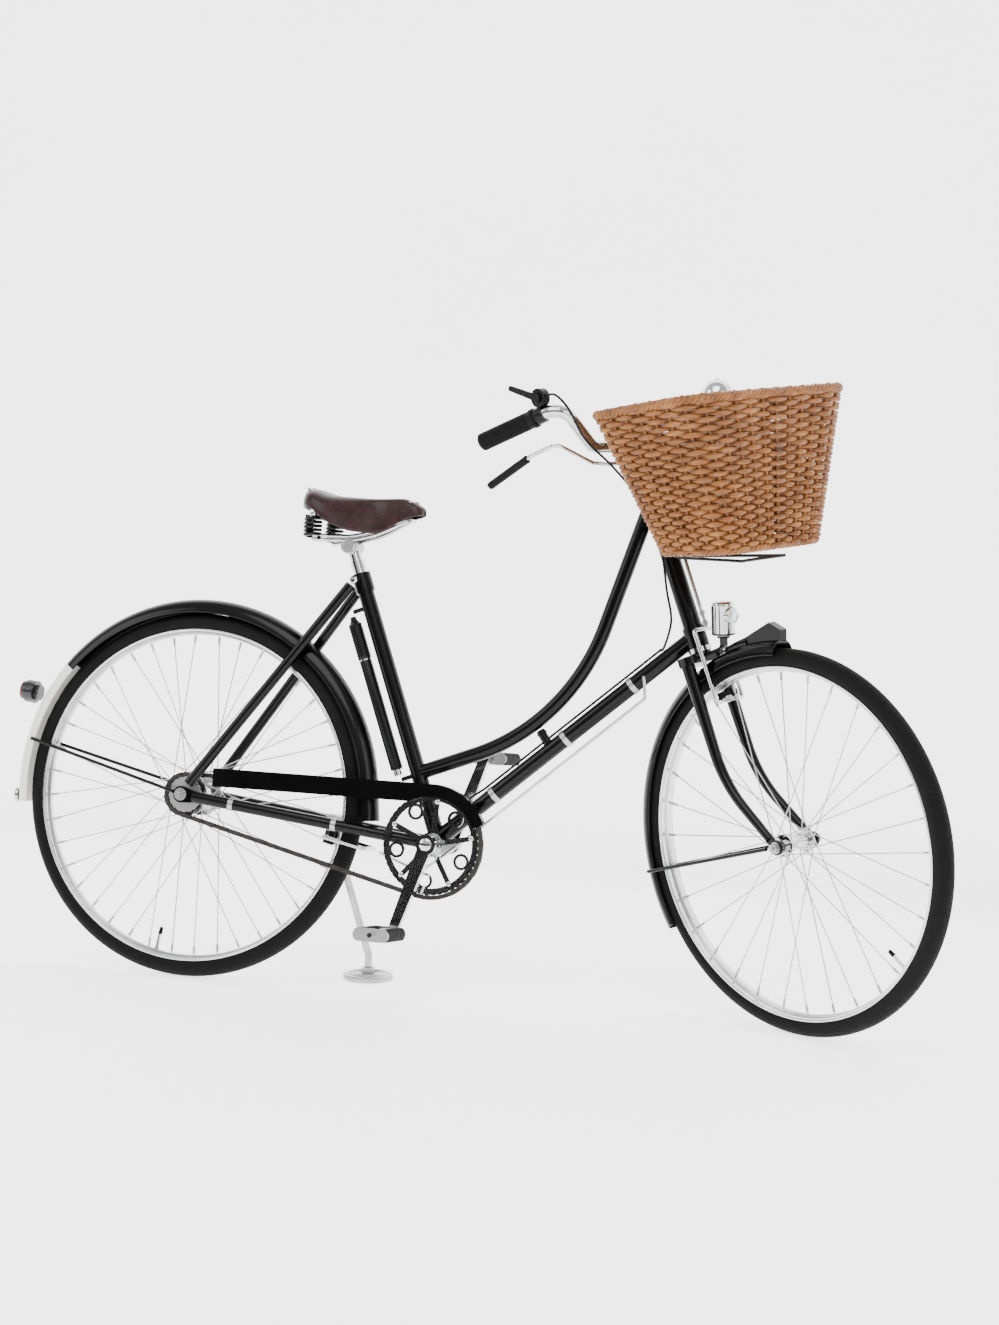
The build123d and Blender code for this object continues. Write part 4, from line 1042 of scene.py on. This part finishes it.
@dataclass
class Drive:
    """Chain, toothed wheels, cranks and pedals."""

    line: float = -44.0
    pitch: float = 12.7
    small: tuple[float, float, float] = (0.0, WHEEL_R, 36.6)
    large: tuple[float, float, float] = (CRANK_X, CRANK_Z, 93.1)

    def build(self) -> None:
        """Dresses the drive and makes its links, bolts and cap pieces."""
        dress(Finish.CHROME, "crankset", "chainwheel")
        dress(Finish.STEEL, "sprocket")
        for side in ("right", "left"):
            dress(Finish.STEEL, f"{side}_pedal_frame")
            self._pedal_blocks(side)
        self._chain()
        self._chainwheel_trim()

    def _path(self) -> list[Vector]:
        """Gives closely spaced points round the chain's pitch line.

        Returns:
            The points on the drawing, in order.
        """
        ax, az, ar = self.small
        bx, bz, br = self.large
        gap = math.hypot(bx - ax, bz - az)
        tilt = math.atan2(bz - az, bx - ax)
        lean = math.acos((ar - br) / gap)
        upper, lower = tilt + lean, tilt - lean
        points = []
        for i in range(200):
            turn = upper + (lower + TAU - upper) * i / 199
            points.append(Vector((ax + ar * math.cos(turn), self.line, az + ar * math.sin(turn))))
        for i in range(400):
            turn = lower + (upper - lower) * i / 399
            points.append(Vector((bx + br * math.cos(turn), self.line, bz + br * math.sin(turn))))
        return points

    def _pins(self) -> list[Vector]:
        """Gives the chain's pin centres, evenly spaced round its path.

        Returns:
            The pin centres on the drawing, in order.
        """
        path = self._path()
        path.append(path[0])
        steps = [(b - a).length for a, b in zip(path, path[1:])]
        total = sum(steps)
        count = 2 * round(total / self.pitch / 2)
        pins, walked, index = [], 0.0, 0
        for i in range(count):
            target = total * i / count
            while walked + steps[index] < target:
                walked += steps[index]
                index += 1
            share = (target - walked) / max(steps[index], 1e-6)
            pins.append(path[index].lerp(path[index + 1], share))
        return pins

    def _chain(self) -> None:
        """Makes every link's two plates and roller."""
        pins = self._pins()
        plates, rollers = Mesh(), Mesh()
        for i, pin in enumerate(pins):
            after = pins[(i + 1) % len(pins)]
            along = (after - pin).normalized()
            up = Vector((-along.z, 0, along.x))
            reach = 3.4 if i % 2 else 1.9
            outline = []
            for end, sign in ((after, 1), (pin, -1)):
                for k in range(7):
                    turn = math.pi * (k / 6 - 0.5)
                    swing = along * math.cos(turn) * sign + up * math.sin(turn) * sign
                    outline.append(end + swing * 3.8)
            for side in (1, -1):
                near = Vector((0, side * reach, 0))
                plates.plate([on_frame(*(p + near)) for p in outline], frame_way(0, side * MM, 0))
            base = on_frame(*(pin - Vector((0, 4.3, 0))))
            rows = [(0, 1.4), (2.4, 1.6), (2.5, 3.6), (6.1, 3.6), (6.2, 1.6), (8.6, 1.4)]
            rollers.lathe(base, frame_way(0, 1, 0), in_metres(rows), 10)
        plates.finish("chain_links", "frame", Finish.CHAIN, ("chain",), smooth=30)
        rollers.finish("chain_rollers", "frame", Finish.CHAIN)

    def _chainwheel_trim(self) -> None:
        """The bright chainwheel bolt heads and crank end caps."""
        bx, bz, _ = self.large
        axis = frame_way(0, -1, 0)
        mesh = Mesh()
        for arm in range(5):
            turn = math.radians(12 + 72 * arm)
            spot = on_frame(bx + 76 * math.cos(turn), self.line - 1.3, bz + 76 * math.sin(turn))
            mesh.lathe(spot, axis, in_metres([(0, 4.2), (1.6, 4.2), (2.4, 3), (2.5, 0.5)]), 18)
        for side in (1, -1):
            outward = frame_way(0, side, 0)
            mesh.lathe(
                on_frame(bx, side * 72, bz), outward,
                [(0, 0.0105), (0.0012, 0.0108), (0.0022, 0.009), (0.003, 0.003), (0.0031, 0.0005)], 28,
            )
        mesh.finish("crank_caps", "cranks", Finish.CHROME)

    def _pedal_blocks(self, side: str) -> None:
        """Makes a pedal's two ribbed rubber blocks from its spin joint's place.

        Args:
            side: which pedal, right or left.
        """
        spin = Vector(joint(f"{side}_pedal_spin")["pos_m"])
        across = frame_way(0, -1 if side == "right" else 1, 0)
        ahead, up = frame_way(1, 0, 0), frame_way(0, 0, 1)
        centre = REAR.inverted() @ spin
        mid = on_frame(centre.x * 1000, 0, centre.z * 1000) + across * 0.128
        mesh = Mesh()
        for way in (1, -1):
            rows = []
            for i in range(41):
                place = -0.0402 + 0.0804 * i / 40
                groove = 0.0 if i % 4 else -0.0013
                row = []
                for k in range(20):
                    cos, sin = math.cos(TAU * k / 20), math.sin(TAU * k / 20)
                    wide = math.copysign(abs(cos) ** 0.55, cos) * (0.0092 + groove)
                    tall = math.copysign(abs(sin) ** 0.55, sin) * (0.0112 + groove)
                    row.append(mid + across * place + ahead * (way * 0.0235 + wide) + up * tall)
                rows.append(row)
            mesh.grid(rows, closed=True)
            for row in (0, 40):
                first = len(mesh.verts) - 41 * 20 + row * 20
                loop = tuple(range(first, first + 20))
                mesh.faces.append(loop if row else loop[::-1])
        mesh.finish(f"{side}_pedal_blocks", f"{side}_pedal", Finish.RUBBER, (f"{side}_pedal_rubbers",))


@dataclass
class Saddle:
    """The sprung leather saddle, its rails, coils and rivets."""

    back: float = 189.0
    nose: float = 410.0
    half: float = 93.0

    def build(self) -> None:
        """Makes the hide and its metalwork and dresses the post."""
        dress(Finish.CHROME, "seat_post")
        self._hide()
        self._rivets()
        self._rails()

    def _section(self, share: float) -> tuple[float, float, float, float]:
        """Gives (x, half width, top height, skirt depth) at a share of the length.

        Args:
            share: how far along, from 0 at the back to 1 at the nose.

        Returns:
            The four measures, in millimetres.
        """
        x = self.back + (self.nose - self.back) * share
        tail = min(1.0, share / 0.16)
        wide = self.half * math.sqrt(max(0.0, 1 - (1 - tail) ** 2))
        taper = 0.5 + 0.5 * math.cos(math.pi * min(1.0, max(0.0, (share - 0.2) / 0.5)))
        width = 21 + (wide - 21) * taper if share > 0.2 else wide
        if share > 0.93:
            width *= math.sqrt(max(0.02, 1 - ((share - 0.93) / 0.07) ** 2))
        top = 893 - 8 * self._ease((share - 0.13) / 0.17) - 3 * math.sin(math.pi * share)
        top -= 5 * (1 - self._ease(share / 0.07)) + 20 * max(0.0, (share - 0.8) / 0.2) ** 1.7
        skirt = 34 + 30 * self._ease((share - 0.08) / 0.4)
        skirt -= 54 * max(0.0, (share - 0.62) / 0.38) ** 1.3
        return x, max(width, 4.0), top, skirt

    @staticmethod
    def _ease(share: float) -> float:
        """Gives a smooth step from 0 to 1."""
        share = min(1.0, max(0.0, share))
        return share * share * (3 - 2 * share)

    def _hide(self) -> None:
        """The moulded leather top with its turned-down skirt."""
        rows = []
        for i in range(41):
            x, wide, top, skirt = self._section(i / 40)
            row = []
            for k in range(29):
                turn = math.pi * (k / 28 - 0.5)
                across = math.sin(turn)
                y = wide * math.copysign(abs(across) ** 0.8, across)
                drop = (1 - math.cos(turn)) ** 1.7
                crown = 2.0 * (1 - abs(across)) * self._ease((i - 20) / 12)
                row.append(on_frame(x, y, top - skirt * drop + crown - 1))
            rows.append(row)
        mesh = Mesh().grid(rows)
        piece = mesh.finish("saddle_hide", "saddle", Finish.LEATHER, ("saddle_top",))
        shell = piece.modifiers.new("thickness", "SOLIDIFY")
        shell.thickness = 0.0045
        shell.offset = 1.0
        smoother = piece.modifiers.new("surface", "SUBSURF")
        smoother.levels = smoother.render_levels = 1

    def _rivets(self) -> None:
        """The bright rivets across the cantle and at the nose."""
        mesh = Mesh()
        up = frame_way(0, 0, 1)
        for y in (-60, -36, -12, 12, 36, 60):
            x, wide, top, skirt = self._section(0.1)
            drop = (1 - math.sqrt(max(0.0, 1 - (abs(y) / wide) ** 2.5))) ** 1.7
            spot = on_frame(x - 3, y, top - skirt * drop + 0.5)
            mesh.lathe(spot, up, in_metres([(-2, 4.5), (0.6, 4.5), (1.8, 3), (2, 0.4)]), 18)
        for x, y, z in ((393, 0, 878), (384, 11, 879), (384, -11, 879)):
            rows = in_metres([(-4, 4), (0.5, 4), (1.4, 2.6), (1.6, 0.4)])
            mesh.lathe(on_frame(x, y, z), up, rows, 18)
        mesh.finish("saddle_rivets", "saddle", Finish.CHROME)

    def _rails(self) -> None:
        """The rails, cantle plate, nose fork, clamp and the two coil springs."""
        mesh, coils = Mesh(), Mesh()
        for side in (1, -1):
            for lift in (0, 7):
                rail = [
                    on_frame(384, side * 8, 846 + lift / 3), on_frame(330, side * 17, 819 + lift),
                    on_frame(286, side * 20, 806 + lift), on_frame(250, side * 30, 803 + lift),
                    on_frame(216, side * 52, 801 + lift),
                ]
                mesh.tube(smooth_path(rail), 0.0033, 10)
            coil = []
            for i in range(150):
                turn = TAU * 5.5 * i / 149
                reach = 14.5 - 2.0 * abs(i / 149 - 0.5)
                around = (216 + reach * math.cos(turn), side * 52 + reach * math.sin(turn))
                coil.append(on_frame(*around, 804 + 38 * i / 149))
            coils.tube(coil, 0.0029, 8)
        turns = [math.radians(degrees) for degrees in range(-90, 91, 10)]
        cantle = [on_frame(228 - 26 * math.cos(a), 70 * math.sin(a), 845) for a in turns]
        mesh.tube(cantle, 0.0042, 10)
        mesh.tube([on_frame(384, -13, 846), on_frame(384, 13, 846)], 0.005, 12)
        mesh.finish("saddle_rails", "saddle", Finish.CHROME, ("saddle_frame",))
        coils.finish("saddle_coils", "saddle", Finish.ENAMEL)
        clamp = Mesh()
        lean = math.radians(SEAT_ANGLE)
        head = Vector((CRANK_X - 560 * math.cos(lean), 0, CRANK_Z + 560 * math.sin(lean) - 3))
        across = frame_way(0, 1, 0)
        clamp.lathe(on_frame(head.x, -27, head.z), across, [
            (0, 0.006), (0.001, 0.0125), (0.011, 0.0125), (0.012, 0.0145), (0.042, 0.0145),
            (0.043, 0.0125), (0.053, 0.0125), (0.054, 0.006),
        ], 24)
        clamp.finish("saddle_clamp", "saddle", Finish.STEEL)


@dataclass
class Basket:
    """The willow basket: stakes, woven rows, plaited rim and slatted base."""

    low: tuple[float, ...] = (940.0, 817.0, 176.0, 248.0, 3.5)
    high: tuple[float, ...] = (852.0, 1059.0, 270.0, 412.0, 7.5)
    edge: float = 5.0
    corner: float = 2 / 5.5
    stakes: int = 36
    rows: int = 34
    ring: list[float] = field(default_factory=list)

    def point(self, share: float, turn: float, out: float = 0.0) -> Vector:
        """Gives a point on the wall.

        Args:
            share: the height, from 0 at the base to 1 at the rim.
            turn: the angle round the basket, from ahead towards the left.
            out: how far outside the wall's middle, in millimetres.

        Returns:
            The placed point, in metres.
        """
        cos, sin = math.cos(turn), math.sin(turn)
        u = math.copysign(abs(cos) ** self.corner, cos)
        v = math.copysign(abs(sin) ** self.corner, sin)
        ends = []
        for x, z, deep, wide, tilt in (self.low, self.high):
            along = deep / 2 + u * (deep / 2 - self.edge + out)
            lean = math.radians(tilt)
            across = v * (wide / 2 - self.edge + out)
            ends.append(Vector((x + math.cos(lean) * along, across, z + math.sin(lean) * along)))
        return on_front(*ends[0].lerp(ends[1], share))

    def build(self) -> None:
        """Weaves the basket and hangs it on its straps."""
        dress(Finish.ENAMEL, "basket_bracket")
        self._weave()
        self._stakes()
        self._rim()
        self._base()
        self._straps()

    def _turn(self, share: float) -> float:
        """Gives the turn at an even share of the way round the wall.

        Args:
            share: how far round, from 0 to 1.

        Returns:
            The turn, in radians.
        """
        if not self.ring:
            spots = [self.point(0.6, TAU * i / 1440) for i in range(1441)]
            walked = 0.0
            for before, after in zip([spots[0], *spots], spots):
                walked += (after - before).length
                self.ring.append(walked)
        target = (share % 1.0) * self.ring[-1]
        index = min(bisect(self.ring, target), 1440)
        low, high = self.ring[index - 1], self.ring[index]
        return TAU * (index - 1 + (target - low) / max(high - low, 1e-9)) / 1440

    def _weave(self) -> None:
        """The thin rods, woven in and out of the stakes row by row."""
        mesh = Mesh()
        count = self.stakes * 5
        for row in range(self.rows):
            share = 0.02 + 0.93 * row / (self.rows - 1)
            flip = math.pi * (row % 2)
            points, girths = [], []
            for i in range(count):
                wave = math.cos(self.stakes / 2 * TAU * i / count + flip)
                sag = 0.0018 * math.sin(row * 2.3 + 5 * TAU * i / count)
                points.append(self.point(share + sag, self._turn(i / count), 4.6 * wave))
                girths.append(0.0038 + 0.0008 * wave + 0.0002 * math.sin(row * 1.7))
            mesh.tube(points, girths, 6, closed=True)
        mesh.finish("basket_weave", "front", Finish.WICKER, ("basket",), smooth=60)

    def _stakes(self) -> None:
        """The upright stakes, one tube each from the base to the rim."""
        mesh = Mesh()
        for i in range(self.stakes):
            turn = self._turn(i / self.stakes)
            mesh.tube([self.point(h / 8, turn) for h in range(9)], 0.003, 7)
        mesh.finish("basket_stakes", "front", Finish.WICKER, smooth=60)

    def _rim(self) -> None:
        """The plaited border and the twisted band round the foot."""
        mesh = Mesh()
        plaits = ((0.965, 4, 4.6, 0.0042, 30), (0.015, 3, 3.2, 0.0034, 26))
        for share, strands, reach, girth, twists in plaits:
            for strand in range(strands):
                points = []
                for i in range(420):
                    turn = self._turn(i / 420)
                    roll = TAU * (twists * i / 420 + strand / strands)
                    rise = reach * math.sin(roll) / 250
                    points.append(self.point(share + rise, turn, reach * math.cos(roll) * 0.9))
                mesh.tube(points, girth, 7, closed=True)
        mesh.finish("basket_border", "front", Finish.WICKER, smooth=60)

    def _base(self) -> None:
        """The woven floor: cross rods with slats laid over and under them."""
        mesh = Mesh()
        lean = math.radians(self.low[4])

        def floor(u: float, v: float, lift: float) -> Vector:
            """Gives a point on the basket's floor."""
            x = self.low[0] + math.cos(lean) * u - math.sin(lean) * lift
            return on_front(x, v, self.low[1] + math.sin(lean) * u + math.cos(lean) * lift)

        for i in range(30):
            u = 6 + 162 * i / 29
            half = 114 - 10 * abs(i / 29 - 0.5) ** 2 * 4
            flip = math.pi * (i % 2)
            lifts = [5 + 1.8 * math.cos(6 * math.pi * k / 16 + flip) for k in range(49)]
            points = [floor(u, half * (k / 24 - 1), lift) for k, lift in enumerate(lifts)]
            mesh.tube(points, 0.0027, 6)
        for k in range(-4, 5):
            mesh.tube([floor(4, k * 24, 5), floor(170, k * 24, 5)], 0.003, 6)
        mesh.finish("basket_floor", "front", Finish.WICKER, smooth=60)

    def _straps(self) -> None:
        """Two buckled leather straps from the back wall round the handlebar."""
        mesh, buckles = Mesh(), Mesh()
        for side in (1, -1):
            rows = []
            loop = [(858, 1016), (866, 1028), (862, 1040), (848, 1036), (842, 1020), (850, 1008)]
            loop.append(loop[0])
            for a in loop:
                rows.append([on_front(a[0], side * 92 + w, a[1] - 14) for w in (-8, 8)])
            mesh.grid(rows)
            corners = ((-10, 996), (10, 996), (10, 1012), (-10, 1012))
            wire = [on_front(842, side * 92 + y, z) for y, z in corners]
            buckles.tube(wire, 0.0012, 6, closed=True)
        strap = mesh.finish("basket_straps", "front", Finish.LEATHER)
        strap.modifiers.new("thickness", "SOLIDIFY").thickness = 0.0022
        buckles.finish("basket_buckles", "front", Finish.CHROME)


@dataclass
class Cockpit:
    """Handlebar, stem, grips, levers, gear trigger, bell and gear cable."""

    clamp: tuple[float, float, float] = (831.9, 0.0, 994.0)

    def build(self) -> None:
        """Dresses the cockpit and makes its grips, sleeves and cable."""
        dress(
            Finish.CHROME, "handlebar", "handlebar_stem", "bell", "bell_lever", "right_brake_lever",
            "left_brake_lever",
        )
        dress(Finish.PLASTIC, "shifter_body", "shift_lever")
        self._grips()
        self._sleeves()
        self._cable()
        self._bell_cap()

    def _bar(self, side: int) -> tuple[Vector, Vector]:
        """Gives a bar end and the direction forward from it, in drawing millimetres.

        Args:
            side: 1 for the left end and -1 for the right.

        Returns:
            The end, and the direction.
        """
        x, y, z = self.clamp
        corner = Vector((x + 8, y + side * 225, z + 80))
        end = Vector((x - 130, y + side * 276, z + 22))
        return end, (corner - end).normalized()

    def _grips(self) -> None:
        """The ringed rubber grips with their rounded ends."""
        mesh = Mesh()
        for side in (1, -1):
            end, way = self._bar(side)
            base = on_front(*end)
            axis = (on_front(*(end + way * 10)) - base).normalized()
            rows = [(-7, 6), (-6.5, 12), (-4, 15), (-2, 15.4)]
            for ring in range(21):
                low = ring * 4.4
                rows += [(low, 15.4), (low + 2.4, 15.4), (low + 3.0, 14.5), (low + 3.9, 14.5)]
            rows += [(97, 15.5), (100, 16.8), (106, 16.8), (106.2, 11.2)]
            mesh.lathe(base, axis, in_metres(rows), 32)
        mesh.finish("bar_grips", "front", Finish.RUBBER, ("grips",))

    def _sleeves(self) -> None:
        """The black sleeves over the brake levers' hand ends."""
        x, y, z = self.clamp
        for side, name in ((-1, "right"), (1, "left")):
            tip = Vector((x + 4 - 134, y + side * 264, z - 53))
            knee = Vector((x + 4 - 36, y + side * 258, z - 1))
            base = on_front(*tip)
            axis = (on_front(*knee) - base).normalized()
            rows = [(-4.3, 2), (-4.2, 5.5), (-2, 6.8)]
            for ring in range(18):
                rows += [(ring * 5, 6.9), (ring * 5 + 3.6, 6.9), (ring * 5 + 4.1, 6.62)]
            rows += [(94, 7.2), (96.2, 7.2), (96.4, 3.8)]
            mesh = Mesh().lathe(base, axis, in_metres(rows), 24)
            mesh.finish(f"{name}_lever_sleeve", f"{name}_lever", Finish.RUBBER)

    def _cable(self) -> None:
        """The gear cable, from the trigger round to the down tube's top."""
        x, y, z = self.clamp
        route = [
            on_front(x - 14, y - 240, z + 98), on_front(x + 10, y - 240, z + 98),
            on_front(x + 30, y - 230, z + 74), on_front(x + 32, y - 196, z + 22),
            on_front(x + 26, y - 126, z - 30), on_front(x + 20, y - 60, z - 90),
            on_frame(850, -26, 822), on_frame(868, -24, 740), on_frame(878, -20, 690),
            on_frame(866, -8, 646), on_frame(858, -6, 637),
        ]
        mesh = Mesh().tube(smooth_path(route, 10), 0.0022, 10)
        piece = mesh.finish("gear_cable_loop", "front", Finish.PLASTIC)
        world = piece.matrix_world.copy()
        piece.parent = None
        piece.matrix_world = world
        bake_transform(piece)

    def _bell_cap(self) -> None:
        """The bell's turned foot ring and its top nut."""
        lever = Vector(joint("bell_ring")["pos_m"])
        lean = math.radians(HEAD_ANGLE)
        up = (HEAD.to_3x3() @ Vector((math.cos(lean), 0, math.sin(lean)))).normalized()
        centre = lever + (on_front(17, 0, 9) - on_front(0, 0, 0))
        foot = in_metres([(1.4, 26.8), (2, 27.6), (3.4, 27.6), (4, 26.4)])
        mesh = Mesh().lathe(centre, up, foot, 40)
        nut = in_metres([(0, 4.2), (1.4, 4.2), (2.2, 2.5), (2.4, 0.4)])
        mesh.lathe(centre + up * 0.0262, up, nut, 18)
        mesh.finish("bell_trim", "front", Finish.CHROME)


@dataclass
class Lights:
    """The head lamp, its bracket, the rear lamp and the tail reflector."""

    lamp_x: float = 983.0
    lamp_low: float = 673.0

    def build(self) -> None:
        """Dresses the lamps and adds glass, bezel, seams and reflector."""
        dress(Finish.CHROME, "head_lamp")
        dress(Finish.ENAMEL, "lamp_bracket")
        dress(Finish.RED_LENS, "rear_lamp")
        self._glass()
        self._seams()
        self._reflector()

    def _glass(self) -> None:
        """The domed glass in its bright bezel."""
        centre = on_front(self.lamp_x + 20.5, 0, self.lamp_low + 34)
        axis = (on_front(self.lamp_x + 33, 0, self.lamp_low + 34) - centre).normalized()
        glass = [(0, 0.0122), (0.0015, 0.0115), (0.003, 0.0087), (0.0042, 0.0046), (0.0045, 0.0004)]
        Mesh().lathe(centre, axis, glass, 40).finish("head_lamp_glass", "front", Finish.GLASS)
        bezel = [(-0.004, 0.0141), (-0.003, 0.015), (0.0008, 0.015), (0.0018, 0.0137), (0.0012, 0.012)]
        Mesh().lathe(centre, axis, bezel, 40).finish("head_lamp_bezel", "front", Finish.CHROME)

    def _seams(self) -> None:
        """The upright flutes round the lamp's can and the ring at its foot."""
        mesh = Mesh()
        for i in range(16):
            turn = TAU * i / 16
            if abs(turn) < 0.9 or turn > TAU - 0.9:
                continue
            x, y = self.lamp_x + 19 * math.cos(turn), 19 * math.sin(turn)
            flute = [on_front(x, y, self.lamp_low + rise) for rise in (3, 50)]
            mesh.tube(flute, 0.0011, 6)
        turns = [TAU * i / 48 for i in range(48)]
        x, z = self.lamp_x, self.lamp_low + 2
        ring = [on_front(x + 19 * math.cos(a), 19 * math.sin(a), z) for a in turns]
        mesh.tube(ring, 0.0016, 8, closed=True)
        mesh.finish("head_lamp_flutes", "front", Finish.PLASTIC)

    def _reflector(self) -> None:
        """The round red reflector low on the rear mudguard's tail."""
        turn = math.radians(184)
        reach = REAR_GUARD_R + 0.5
        base = on_frame(reach * math.cos(turn), 0, WHEEL_R + reach * math.sin(turn))
        axis = frame_way(math.cos(turn), 0, math.sin(turn)).normalized()
        cup = [(-0.0005, 0.013), (0.003, 0.0145), (0.0045, 0.0145), (0.005, 0.0135)]
        Mesh().lathe(base, axis, cup, 32).finish("reflector_cup", "frame", Finish.CHROME)
        face = [(0.0048, 0.0133), (0.0062, 0.011), (0.0068, 0.0004)]
        Mesh().lathe(base, axis, face, 32).finish("reflector_face", "frame", Finish.RED_LENS)


@dataclass
class ForkAndBrakes:
    """The fork with its guard, and both ends' stirrups and blocks."""

    def build(self) -> None:
        """Dresses the fork and brakes and adds the guard's edge beads and rod nuts."""
        dress(Finish.ENAMEL, "fork_crown", "fork_blades")
        dress(Finish.ENAMEL, "front_mudguard", "front_mudguard_stays")
        dress(Finish.STEEL, "front_axle")
        dress(Finish.CHROME, "front_stirrup", "rear_stirrup", "rear_brake_rods")
        dress(Finish.RUBBER, "front_brake_blocks", "rear_brake_blocks")
        self._beads()
        self._crest()
        self._nuts()

    def _beads(self) -> None:
        """The rolled edges along the front mudguard."""
        mesh = Mesh()
        edge = FRONT_GUARD_R - GUARD_SKIRT
        for side in (GUARD_SIDE, -GUARD_SIDE):
            mesh.tube(guard_arc(on_front, WHEELBASE, edge, 93, 120, 60, side), 0.0016, 6)
        mesh.finish("front_guard_beads", "front", Finish.ENAMEL)

    def _crest(self) -> None:
        """The low rib on the front mudguard, between its crest and the lamp's bracket."""
        points = guard_arc(on_front, WHEELBASE, FRONT_GUARD_R + 1, 105, 9, 13)
        girths = [0.011 - 0.0045 * i / 12 for i in range(13)]
        Mesh().tube(points, girths, 14).finish("front_guard_rib", "front", Finish.ENAMEL)

    def _nuts(self) -> None:
        """The adjusting nut and lock nut on the front brake's rod."""
        mesh = Mesh()
        axis = (on_head(31, 0, 500) - on_head(31, 0, 400)).normalized()
        for low, reach in ((402, 0.0058), (420, 0.0052), (560, 0.005), (676, 0.0058)):
            rows = [(0, reach * 0.8), (0.001, reach), (0.007, reach), (0.008, reach * 0.8)]
            mesh.lathe(on_head(31, 0, low), axis, rows, 12)
        mesh.finish("brake_rod_nuts", "front_brake", Finish.STEEL, smooth=25)


@dataclass
class Stand:
    """The folding side stand."""

    def build(self) -> None:
        """Dresses the leg and makes the ribbed foot's edge."""
        dress(Finish.STEEL, "kickstand_leg")
        dress(Finish.STEEL, "kickstand_foot")
        low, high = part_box("kickstand_foot")
        centre = Vector(((low.x + high.x) / 2, (low.y + high.y) / 2, 0.0102))
        mesh, turns = Mesh(), [TAU * i / 64 for i in range(64)]
        for reach in (0.018, 0.026, 0.034):
            ring = [centre + Vector((math.cos(a), math.sin(a), 0)) * reach for a in turns]
            mesh.tube(ring, 0.0011, 6, closed=True)
        mesh.finish("stand_foot_rings", "kickstand", Finish.STEEL)


@dataclass
class Studio:
    """Floor, light and camera."""

    focal: float = 73.96
    place: tuple[float, float, float] = (2087.4, -4538.3, 456.4)
    yaw: float = 108.53
    pitch: float = 1.74
    roll: float = 3.88

    def build(self) -> None:
        """Sets up the whole studio."""
        self._camera()
        self._floor()
        self._lights()

    def _camera(self) -> None:
        """Sets the camera by its place and turn about the upright bicycle."""
        yaw, pitch, roll = (math.radians(a) for a in (self.yaw, self.pitch, self.roll))
        level_ahead = Vector((math.cos(yaw), math.sin(yaw), 0))
        ahead = level_ahead * math.cos(pitch) + Vector((0, 0, math.sin(pitch)))
        level = Vector((math.sin(yaw), -math.cos(yaw), 0))
        above = level.cross(ahead)
        right = level * math.cos(roll) + above * math.sin(roll)
        top = above * math.cos(roll) - level * math.sin(roll)
        rows = [[right[i], top[i], -ahead[i], self.place[i] * MM] for i in range(3)]
        camera = bpy.data.cameras.new("camera")
        camera.lens = self.focal
        camera.sensor_width = 36.0
        camera.clip_end = 60.0
        viewer = bpy.data.objects.new("camera", camera)
        bpy.context.scene.collection.objects.link(viewer)
        viewer.matrix_world = REAR @ Matrix((*rows, (0, 0, 0, 1)))
        bpy.context.scene.camera = viewer

    def _floor(self) -> None:
        """The pale floor that curves up into a wall behind the bicycle."""
        rows = []
        profile = [
            (-7.0, 0.0), (0.9, 0.0), (1.02, 0.01), (1.12, 0.05), (1.17, 0.13), (1.19, 0.3), (1.2, 5.0),
        ]
        turn = math.radians(8)
        for reach, height in profile:
            row = []
            for across in (-9.0, -3.0, 0.0, 3.0, 9.0):
                x = across * math.cos(turn) - reach * math.sin(turn) * 0.2
                row.append(Vector((x, reach, height)))
            rows.append(row)
        mesh = bpy.data.meshes.new("studio_floor")
        gathered = Mesh().grid(rows)
        mesh.from_pydata([tuple(v) for v in gathered.verts], [], gathered.faces)
        mesh.shade_smooth()
        mesh.materials.append(PAINTS.get(Finish.FLOOR))
        floor = bpy.data.objects.new("studio_floor", mesh)
        bpy.context.scene.collection.objects.link(floor)

    def _lights(self) -> None:
        """Soft overhead, side and front panels, with a pale surround."""
        panels = (
            ((0.3, -2.6, 3.6), 3.0, 150.0), ((-3.2, -2.2, 2.2), 2.0, 60.0),
            ((3.4, -2.4, 1.8), 2.0, 50.0),
        )
        for i, (place, size, power) in enumerate(panels):
            light = bpy.data.lights.new(f"panel_{i}", "AREA")
            light.shape, light.size, light.energy = "SQUARE", size, power
            lamp = bpy.data.objects.new(f"panel_{i}", light)
            bpy.context.scene.collection.objects.link(lamp)
            lamp.location = place
            aim = Vector((0, 0, 0.5)) - lamp.location
            lamp.rotation_euler = aim.to_track_quat("-Z", "Y").to_euler()
        world = bpy.data.worlds.new("surround")
        bpy.context.scene.world = world
        world.use_nodes = True
        nodes = Nodes(world.node_tree)
        height = nodes.add("SeparateXYZ", {0: nodes.add("TexCoord").outputs["Generated"]}).outputs[2]
        share = nodes.add("MapRange", {0: height, 1: -1.0, 2: 1.0}).outputs[0]
        tone = nodes.ramp(share, (
            (0.0, (0.3, 0.3, 0.3)), (0.46, (0.02, 0.02, 0.02)), (0.56, (0.02, 0.02, 0.02)),
            (0.62, (1, 1, 1)),
        ))
        seen = nodes.add("LightPath").outputs["Is Camera Ray"]
        back = nodes.add("Background", {0: nodes.blend(seen, tone, (0.9, 0.9, 0.9, 1)), 1: 1.0})
        nodes.add("OutputWorld", {0: back.outputs[0]})


def main() -> None:
    """Builds the studio and every sub-assembly in turn."""
    logging.basicConfig(level=logging.INFO, format="%(name)s: %(message)s")
    Studio().build()
    sub_assemblies = (
        FrameSet(), Wheel("rear", 259.0), Wheel("front", 322.0), Drive(), Saddle(), Basket(),
        Cockpit(), Lights(), ForkAndBrakes(), Stand(),
    )
    for part in sub_assemblies:
        part.build()
        LOG.info("finished %s", type(part).__name__)


if __name__ == "__main__":
    main()
